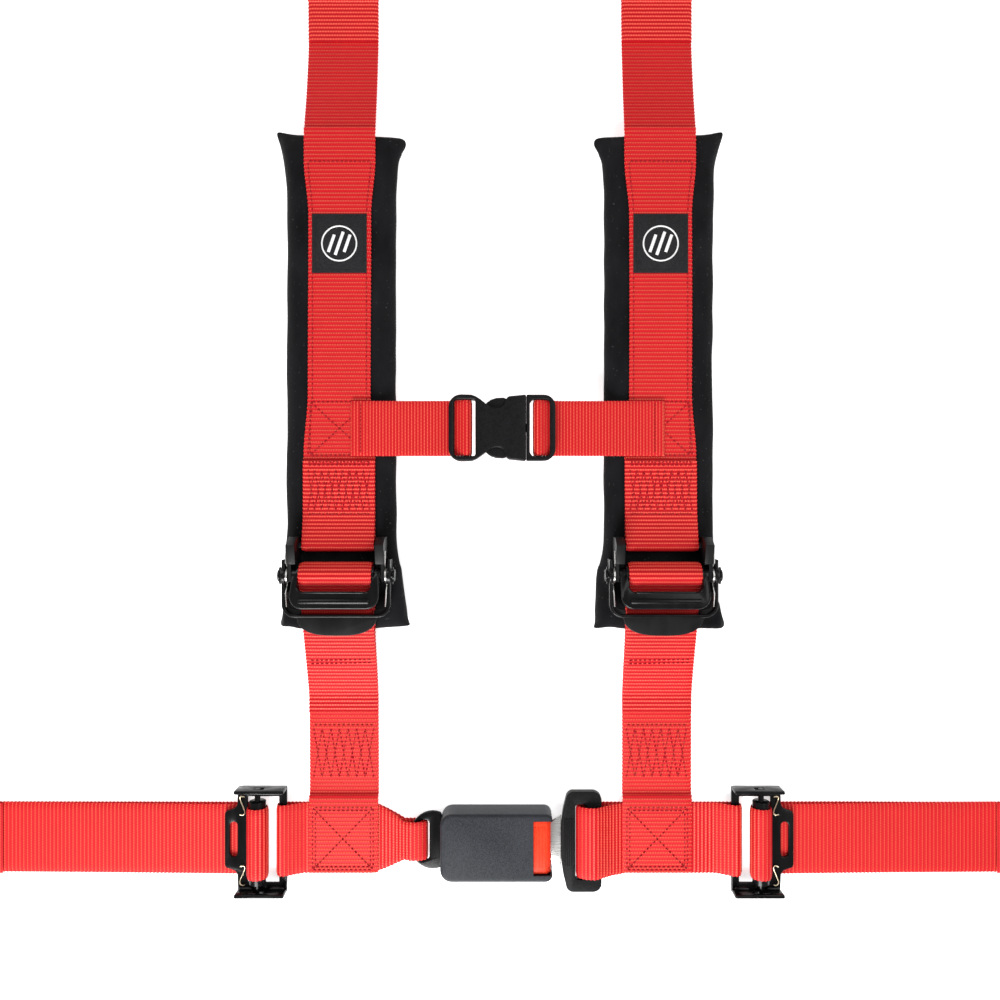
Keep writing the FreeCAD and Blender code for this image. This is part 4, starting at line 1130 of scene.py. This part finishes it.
def adjuster_handle(side, pivot):
    """The lever: a raised plate with a window, its two hubs and a pressed rib."""
    x, y = pivot.x, pivot.y
    outline = [(-30, 3)] + corner(-21.5, -13.5, 8.5, 180, 270) + corner(21.5, -13.5, 8.5, 270, 360)
    outline += [(30, 3), (24.6, 3)] + corner(20.6, -6.2, 4, 360, 270)
    outline += corner(-20.6, -6.2, 4, 270, 180) + [(-24.6, 3)]
    lever = plate(f"lever_plate_{side}", placed(outline, x, y), 34.2 * MM, 38.4 * MM)
    bpy.ops.object.mode_set(mode="EDIT")
    bpy.ops.mesh.select_all(action="DESELECT")
    shape = bmesh.from_edit_mesh(lever.data)
    for vertex in shape.verts:
        vertex.select = vertex.co.y > y
    shape.select_flush_mode()
    bmesh.update_edit_mesh(lever.data)
    bpy.ops.transform.translate(value=(0, 0, -7.5 * MM))
    bpy.ops.object.mode_set(mode="OBJECT")
    round_off(lever, 1.3 * MM, 4)
    parts = [lever]
    for way in (-1, 1):
        parts.append(pin(f"hub_{side}", pivot + at(way * 27.3, 0, 0), at(3, 0, 0), 5.2 * MM, 0.9 * MM))
    parts.append(pin(f"rib_{side}", Vector((x, y - 16.5 * MM, 38.2 * MM)), at(24, 0, 0), 1.9 * MM,
                     1.6 * MM, 24, 0.75))
    parts.append(pin(f"lip_{side}", Vector((x, y - 10.6 * MM, 38 * MM)), at(20, 0, 0), 0.8 * MM,
                     0.5 * MM, 16))
    node = f"adjuster_lever_{side}"
    finish_piece(gather(f"adjuster_handle_{side}", parts), BODY[node], *STEEL, (node,))


def adjuster_surround(side, pivot):
    """The outer frame: a bent front wall, two cheeks on the pin, and the half-moon tab."""
    x, y = pivot.x, pivot.y
    node = f"adjuster_frame_{side}"
    outline = [(-37, 11)] + corner(-28, -19.5, 9, 180, 270) + corner(28, -19.5, 9, 270, 360)
    outline += [(37, 11), (34.8, 11)] + corner(28, -19.5, 6.8, 360, 270)
    outline += corner(-28, -19.5, 6.8, 270, 180) + [(-34.8, 11)]
    wall = round_off(plate(f"wall_{side}", placed(outline, x, y), 22.5 * MM, 30.5 * MM), 0.7 * MM)
    outline = [(-36, -16)] + corner(-28, -19.5, 8, 180, 262)
    for turn in range(4, 180, 8):
        angle = math.radians(turn)
        reach = math.copysign(abs(math.cos(angle)) ** 0.72, -math.cos(angle))
        outline.append((27.2 * reach, -28 - 13.2 * math.sin(angle) ** 0.85))
    outline += corner(28, -19.5, 8, 278, 360) + [(36, -16), (32.5, -16), (31.5, -22), (25.6, -23.4),
                                                (25.6, -27.2), (-25.6, -27.2), (-25.6, -23.4),
                                                (-31.5, -22), (-32.5, -16)]
    tab = round_off(plate(f"tab_{side}", placed(outline, x, y), 26.4 * MM, 28.2 * MM), 0.5 * MM)
    cheeks = []
    for way in (-1, 1):
        cheek = [(way * 34.8, -12), (way * 37, -12), (way * 37, 11), (way * 34.8, 11)]
        cheeks.append(round_off(plate(f"cheek_{side}", placed(cheek, x, y), PAD_TOP + 0.5 * MM,
                                      24 * MM), 0.5 * MM))
        cheeks.append(pin(f"boss_{side}", pivot + at(way * 35.9, 0, 0), at(1.4, 0, 0), 6.2 * MM,
                          0.5 * MM))
    outer = gather(f"adjuster_surround_{side}", [wall] + cheeks)
    finish_piece(outer, BODY[node], *STEEL, (node,))
    finish_piece(tab, BODY[node], "satin_black", "satin_black_steel")


def adjuster_pivot(side, pivot):
    """The pin, its two heads and the spring clips that hold them."""
    parts = [pin(f"shaft_{side}", pivot, at(39, 0, 0), 2.5 * MM, 0.3 * MM)]
    for way in (-1, 1):
        centre = pivot + at(way * 39, 0, 0)
        parts.append(pin(f"head_{side}", centre, at(0.9, 0, 0), 4.2 * MM, 0.6 * MM))
        for place in (-1, 1):
            parts.append(pin(f"clip_{side}", centre + at(-way * 0.6, place * 4.2, 1),
                             at(0.5, 0, 0), 1.7 * MM, 0.3 * MM, 20))
    node = f"adjuster_pin_{side}"
    finish_piece(gather(f"adjuster_pivot_{side}", parts), BODY[node], *STEEL, (node,))


def adjuster_springs(side, pivot):
    """Two torsion springs, each with a straight leg at both ends."""
    coils = []
    for way in (-1, 1):
        line = [pivot + at(way * 33.4, 17, 5), pivot + at(way * 33.5, 9, 5.2)]
        for turn in range(41):
            angle = math.tau * 1.6 * turn / 40
            line.append(pivot + at(way * (33.3 + 0.9 * turn / 40), 4.6 * math.cos(angle),
                                   4.6 * math.sin(angle)))
        line += [pivot + at(way * 34.1, -12, 3.4), pivot + at(way * 33.6, -21, 3.2)]
        coils.append(wire(f"coil_{side}", line, 0.55 * MM))
    node = f"adjuster_springs_{side}"
    finish_piece(gather(f"adjuster_spring_wire_{side}", coils), BODY[node], "bright_steel",
                 "bright_steel", (node,))


class HARNESS_OT_shoulder_adjusters(bpy.types.Operator):
    """Builds the lever adjusters on the shoulder straps"""
    bl_idname = "harness.shoulder_adjusters"
    bl_label = "Build shoulder adjusters"

    def execute(self, context):
        for side, sign in SIDES:
            pivot = Vector((shoulder_x(sign), PIN.y, PIN.z))
            adjuster_handle(side, pivot)
            adjuster_surround(side, pivot)
            dress(f"adjuster_bracket_{side}", "satin_black", "satin_black_steel", 0.8 * MM)
            paint(f"adjuster_drum_{side}", "gloss_black")
            adjuster_pivot(side, pivot)
            adjuster_springs(side, pivot)
        return {"FINISHED"}


# Lap adjusters

def lap_adjuster(side, sign):
    """The pressed frame, sliding bar and wire springs of one lap adjuster."""
    x = middle(f"lap_sliding_bar_{side}").x + sign * 1 * MM

    def spot(a, b, height):
        return Vector((x + sign * a * MM, LAP_Y + b * MM, height * MM))

    def sheet(name, outline, low, high):
        turned = [(sign * a, b) for a, b in outline]
        return plate(name, placed(turned, x, LAP_Y), low * MM, high * MM)

    lower = [(-20.5, -37.4), (14.2, -37.4), (14.6, -24.5), (16.2, -22.2), (19, -21)]
    lower += corner(20.6, -17.6, 2.9, 290, 360, 5)
    pressing = sheet(f"pressing_{side}", mirrored(lower), 3.45, 5.9)
    slot = corner(17.2, 9.7, 2.8, 0, 180, 8) + corner(17.2, -9.7, 2.8, 180, 360, 8)
    for hole in (block(-15, 7.2, 30.5), slot):
        take_out(pressing, sheet("hole", hole, 2, 8))
    parts = [round_off(pressing, 0.6 * MM)]
    for way in (-1, 1):
        outline = [(-20.4, way * 37.5), (-20.4, way * 35.0), (14.4, way * 35.0), (14.4, way * 37.5)]
        flange = sheet(f"flange_{side}", outline, 3.5, 15.4)
        track = [(-5.2, way * 39), (-5.2, way * 33), (1.2, way * 33), (1.2, way * 39)]
        take_out(flange, sheet("track", track, 7.8, 12.2))
        parts.append(round_off(flange, 0.8 * MM))
        for start, end in ((-18.5, -8), (3.5, 13)):
            parts.append(rod(f"press_{side}", spot(start, way * 34.4, 6.6),
                             spot(end, way * 34.4, 6.6), 1.5 * MM, 1.2 * MM, 20))
    node = f"lap_adjuster_frame_{side}"
    finish_piece(gather(f"lap_adjuster_plate_{side}", parts), BODY[node], *STEEL, (node,))
    dress(f"lap_sliding_bar_{side}", *STEEL, 0.4 * MM)
    bends = ((8.6, 31.0, 8.4), (10.1, 31.5, 8.2), (12.2, 30.3, 7.2), (11.8, 27.5, 6.7),
             (9.4, 21.5, 6.7), (8.9, 19.0, 7.0), (10.2, 17.9, 7.4), (12.2, 18.5, 7.8))
    legs = [wire(f"leg_{side}", smooth_path([spot(a, way * b, height) for a, b, height in bends],
                                            0.7 * MM), 0.42 * MM) for way in (-1, 1)]
    node = f"lap_adjuster_springs_{side}"
    finish_piece(gather(f"lap_spring_wire_{side}", legs), BODY[node], "spring_wire",
                 "spring_wire", (node,))


class HARNESS_OT_lap_adjusters(bpy.types.Operator):
    """Builds the pressed steel adjusters on the lap straps"""
    bl_idname = "harness.lap_adjusters"
    bl_label = "Build lap adjusters"

    def execute(self, context):
        for side, sign in SIDES:
            lap_adjuster(side, sign)
        return {"FINISHED"}


class HARNESS_OT_anchors(bpy.types.Operator):
    """Finishes the four bolt-in anchor plates"""
    bl_idname = "harness.anchors"
    bl_label = "Finish anchors"

    def execute(self, context):
        for side, _ in SIDES:
            for kind in ("shoulder", "lap"):
                dress(f"{kind}_anchor_{side}", *STEEL, 0.5 * MM)
        return {"FINISHED"}


# Sternum clip

class HARNESS_OT_sternum_clip(bpy.types.Operator):
    """Builds the side-release clip between the sternum straps"""
    bl_idname = "harness.sternum_clip"
    bl_label = "Build sternum clip"

    def execute(self, context):
        look = ("clip_plastic", "clip_plastic")
        low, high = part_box("sternum_socket")
        bottom, top = low.z, high.z
        level = (bottom + top) / 2
        left, mouth, right = low.x / MM, high.x / MM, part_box("sternum_plug")[1].x / MM
        waist = [(mouth, 22.8), (6.2, 21.6), (4.6, 20.6), (3.6, 18.2), (2.4, 15.4), (0.4, 13.9),
                 (-2.7, 13.5), (-6, 14.3), (-8.6, 15.6), (-11, 17.6), (-13.8, 19.8), (-16.4, 21.5),
                 (-19.5, 22.7)]
        end = corner(left + 8.5, 14.3, 8.6, 90, 180)
        upper = waist + end
        outline = mirrored(upper)
        socket = level_plate("socket_blank", outline, STERNUM_Y, bottom, top)
        window = corner(left + 6.3, 16.8, 2.6, 90, 180) + corner(left + 6.3, -16.8, 2.6, 180, 270)
        window += corner(-18.4, -17.8, 1.5, 270, 360) + corner(-18.4, 17.8, 1.5, 0, 90)
        cut_out(socket, window, STERNUM_Y, bottom - MM, top + MM)
        round_off(socket, 1.3 * MM, 4)
        for room in (block(-12.5, mouth + 2, 15.9), block(-11.5, 5.6, 26)):
            cut_out(socket, room, STERNUM_Y, level - 3 * MM, level + 3 * MM)
        cut_out(socket, block(left - 2, -25.8, 19.4), STERNUM_Y, bottom - MM, 20.4 * MM)
        bar = pin("bar", Vector((-23.5 * MM, STERNUM_Y, level)), at(0, 19.6, 0), 2 * MM)
        finish_piece(gather("clip_socket", [socket, bar]), BODY["sternum_socket"], *look,
                     ("sternum_socket",))
        inner = mouth + 0.3
        outline = [(inner, -22.6)] + corner(right - 8, -14.6, 8, 270, 360)
        outline += corner(right - 8, 14.6, 8, 0, 90) + [(inner, 22.6)]
        plug = level_plate("plug_blank", outline, STERNUM_Y, bottom, top)
        window = corner(right - 6.4, 16.8, 2.6, 90, 0) + corner(right - 6.4, -16.8, 2.6, 360, 270)
        window += [(inner + 4, -19.4), (inner + 2.2, -17), (inner + 2.2, 17), (inner + 4, 19.4)]
        cut_out(plug, window, STERNUM_Y, bottom - MM, top + MM)
        round_off(plug, 1.2 * MM, 4)
        cut_out(plug, block(29.4, right + 2, 19.4), STERNUM_Y, bottom - MM, 20.4 * MM)
        bar = pin("bar", Vector((27 * MM, STERNUM_Y, level)), at(0, 19.6, 0), 2 * MM)
        guide = level_plate("guide", block(mouth - 21, inner + 1, 2.8), STERNUM_Y,
                            level - 2.4 * MM, level + 2.4 * MM)
        round_off(guide, 0.8 * MM)
        finish_piece(gather("clip_plug", [plug, bar, guide]), BODY["sternum_plug"], *look,
                     ("sternum_plug",))
        for name, way in (("upper", 1), ("lower", -1)):
            outline = [(inner - 0.6, 10.2), (inner - 0.6, 14.6), (5.4, 15.2), (5.2, 19.8),
                       (2.5, 20.9), (-2.5, 20.7), (-6.5, 19.4), (-9.4, 17.2), (-10.9, 14.4),
                       (-10.2, 11.6), (-7.5, 10.4)]
            prong = plate(f"clip_prong_{name}", placed([(a, way * b) for a, b in outline], 0,
                                                       STERNUM_Y), level - 2.6 * MM, level + 2.6 * MM)
            round_off(prong, 1.1 * MM, 4)
            node = f"sternum_prong_{name}"
            finish_piece(prong, BODY[node], *look, (node,))
        return {"FINISHED"}


# Lap buckle

def pick_level(piece, way):
    """In edit mode, selects only the faces that look up (1) or down (-1)."""
    bpy.ops.mesh.select_all(action="DESELECT")
    shape = bmesh.from_edit_mesh(piece.data)
    for face in shape.faces:
        face.select = face.normal.z * way > 0.9
    bmesh.update_edit_mesh(piece.data)


class HARNESS_OT_buckle(bpy.types.Operator):
    """Builds the push-button buckle's covers, button, loop and inner steel"""
    bl_idname = "harness.buckle"
    bl_label = "Build buckle"

    def execute(self, context):
        low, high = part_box("buckle_top_cover")
        split, top, right = low.z / MM, high.z / MM, high.x / MM
        left, half = low.x / MM, (high.y - low.y) / 2 / MM
        outline = corner(left + 8, half - 8, 8, 90, 180) + corner(left + 8, 8 - half, 8, 180, 270)
        outline += corner(right - 5, 5 - half, 5, 270, 360) + corner(right - 5, half - 5, 5, 0, 90)
        for name, bottom, upper, rise in (("buckle_top_cover", split, top, True),
                                          ("buckle_bottom_cover", 0.0, split - 0.1, False)):
            shell = plate(f"{name}_shell", placed(outline, 0, LAP_Y), bottom * MM, upper * MM)
            face_up = 1 if rise else -1
            bpy.ops.object.mode_set(mode="EDIT")
            pick_level(shell, face_up)
            squeeze, shift = (0.84, -2.4 * MM) if rise else (0.93, 0)
            bpy.ops.transform.resize(value=(0.955, squeeze, 1), center_override=(0, LAP_Y, 0))
            bpy.ops.transform.translate(value=(0, shift, 0))
            pick_level(shell, -face_up)
            bpy.ops.mesh.delete(type="ONLY_FACE")
            bpy.ops.object.mode_set(mode="OBJECT")
            round_off(shell, 2.2 * MM, 6, 24)
            wall = shell.modifiers.new("wall", "SOLIDIFY")
            wall.thickness, wall.offset = 1.4 * MM, -1
            apply_modifiers(shell)
            if rise:
                cut_out(shell, block(right - 13.4, right + 2, 18.8), LAP_Y, (split - 1) * MM,
                        (top + 2) * MM)
            else:
                cut_out(shell, block(left - 2, right + 2, 16.4), LAP_Y, 3.4 * MM,
                        (split + 1) * MM)
            finish_piece(shell, BODY[name], "buckle_plastic", "buckle_plastic", (name,))
        low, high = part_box("press_button")
        dress("press_button", "button_plastic", "button_plastic", 1.1 * MM, 4)
        finish_piece(ribbing("button_ridges", 4, 3.2, 2.1, 14, low, high, 0.6, 0.1),
                     BODY["press_button"], "button_plastic", "button_plastic")
        low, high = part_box("buckle_loop")
        ring = [(-47.6 + 17.4 * math.cos(math.radians(turn)), 20.5 * math.sin(math.radians(turn)))
                for turn in range(70, 291, 10)]
        ring += [(-40.2, -13), (-36, -12), (high.x / MM, -12), (high.x / MM, 12), (-36, 12), (-40.2, 13)]
        loop = level_plate("loop_blank", ring, LAP_Y, low.z, high.z)
        slot = corner(-54, 9.5, 4.4, 90, 180) + corner(-54, -9.5, 4.4, 180, 270)
        slot += corner(-52.4, -11.4, 2.5, 270, 360) + corner(-52.4, 11.4, 2.5, 0, 90)
        cut_out(loop, slot, LAP_Y, low.z - MM, high.z + MM)
        round_off(loop, 1.0 * MM, 4)
        finish_piece(loop, BODY["buckle_loop"], *STEEL, ("buckle_loop",))
        for node, finish, slot in (("buckle_frame", "satin_black", "satin_black_steel"),
                                   ("buckle_latch", "bright_steel", "bright_steel"),
                                   ("buckle_rivets", "bright_steel", "bright_steel")):
            dress(node, finish, slot, 0.25 * MM)
        paint("buckle_ejector", "clip_plastic")
        paint("buckle_latch_spring", "bright_steel")
        paint("button_springs", "bright_steel")
        return {"FINISHED"}


class HARNESS_OT_tongue(bpy.types.Operator):
    """Builds the tongue's steel blade and its moulded grip"""
    bl_idname = "harness.tongue"
    bl_label = "Build tongue"

    def execute(self, context):
        dress("tongue_blade", "bright_steel", "bright_steel", 0.35 * MM)
        low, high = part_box("tongue_grip")
        near, far, half = low.x / MM, high.x / MM, (high.y - low.y) / 2 / MM
        upper = corner(far - 6, half - 6, 6, 0, 90) + corner(near + 8.5, half - 5, 5, 90, 170)
        upper += [(near + 1.4, 22), (near + 0.3, 14), (near, 6)]
        outline = mirrored(upper)
        grip = level_plate("grip_blank", outline, LAP_Y, low.z, high.z)
        slot = corner(far - 13.4, 24.2, 2.2, 0, 90) + corner(near + 12.2, 24.2, 2.2, 90, 180)
        slot += corner(near + 12.2, -24.2, 2.2, 180, 270) + corner(far - 13.4, -24.2, 2.2, 270, 360)
        cut_out(grip, slot, LAP_Y, low.z - MM, high.z + MM)
        round_off(grip, 1.8 * MM, 5)
        finish_piece(grip, BODY["tongue_grip"], "clip_plastic", "clip_plastic", ("tongue_grip",))
        finish_piece(ribbing("grip_ribs", 5, 2.4, 1.5, 17, low, high, 0.5, 0.05),
                     BODY["tongue_grip"], "clip_plastic", "clip_plastic")
        return {"FINISHED"}


# Stage

class HARNESS_OT_stage(bpy.types.Operator):
    """Sets the floor, the soft lights and the camera over the harness"""
    bl_idname = "harness.stage"
    bl_label = "Set stage"

    def execute(self, context):
        clean_scene_selection()
        bpy.ops.mesh.primitive_plane_add(size=8, location=(0, 0, -0.3 * MM))
        floor = bpy.context.object
        floor.name = "floor"
        floor.data.materials.append(floor_finish())
        for name, place, size, power in (("key", (-0.25, -1.25, 0.75), 0.7, 32),
                                         ("fill", (1.0, 0.3, 1.4), 1.2, 11.5),
                                         ("back", (-0.7, 1.1, 1.1), 0.8, 7)):
            bpy.ops.object.light_add(type="AREA", location=place)
            light = bpy.context.object
            light.name = name
            light.data.size, light.data.energy = size, power
            aim = Vector((0, LAP_Y + 240 * MM, 0)) - Vector(place)
            light.rotation_euler = aim.to_track_quat("-Z", "Y").to_euler()
        world = bpy.data.worlds.new("studio")
        world.use_nodes = True
        world.node_tree.nodes["Background"].inputs["Color"].default_value = (1, 1, 1, 1)
        world.node_tree.nodes["Background"].inputs["Strength"].default_value = 0.34
        context.scene.world = world
        context.scene.view_settings.view_transform = "Standard"
        bpy.ops.object.camera_add(location=CAMERA_SHIFT + UP * 0.6, rotation=(0, 0, 0))
        camera = bpy.context.object
        camera.data.lens, camera.data.sensor_width = 30.2, 36
        camera.data.clip_start = 0.05
        context.scene.camera = camera
        return {"FINISHED"}


STEPS = (HARNESS_OT_shoulder_straps, HARNESS_OT_lap_straps, HARNESS_OT_sternum_straps,
         HARNESS_OT_sewing, HARNESS_OT_pads, HARNESS_OT_labels, HARNESS_OT_shoulder_adjusters,
         HARNESS_OT_lap_adjusters, HARNESS_OT_anchors, HARNESS_OT_sternum_clip,
         HARNESS_OT_buckle, HARNESS_OT_tongue, HARNESS_OT_stage)


class HARNESS_PT_panel(bpy.types.Panel):
    """Sizes, colours and steps of the harness"""
    bl_label = "Harness"
    bl_idname = "HARNESS_PT_panel"
    bl_space_type = "VIEW_3D"
    bl_region_type = "UI"
    bl_category = "Harness"

    def draw(self, context):
        for group in (context.scene.harness_webbing, context.scene.harness_pads):
            box = self.layout.box()
            for key in group.__annotations__:
                box.prop(group, key)
        for step in STEPS:
            self.layout.operator(step.bl_idname)


CLASSES = (HarnessWebbing, HarnessPads, *STEPS, HARNESS_PT_panel)


def register():
    for item in CLASSES:
        bpy.utils.register_class(item)
    bpy.types.Scene.harness_webbing = PointerProperty(type=HarnessWebbing)
    bpy.types.Scene.harness_pads = PointerProperty(type=HarnessPads)


def unregister():
    del bpy.types.Scene.harness_pads
    del bpy.types.Scene.harness_webbing
    for item in reversed(CLASSES):
        bpy.utils.unregister_class(item)


def main():
    """Builds the whole harness."""
    register()
    make_finishes(bpy.context.scene.harness_webbing, bpy.context.scene.harness_pads)
    for step in STEPS:
        group, name = step.bl_idname.split(".")
        getattr(getattr(bpy.ops, group), name)()
    clean_scene_selection()


if __name__ == "__main__":
    main()
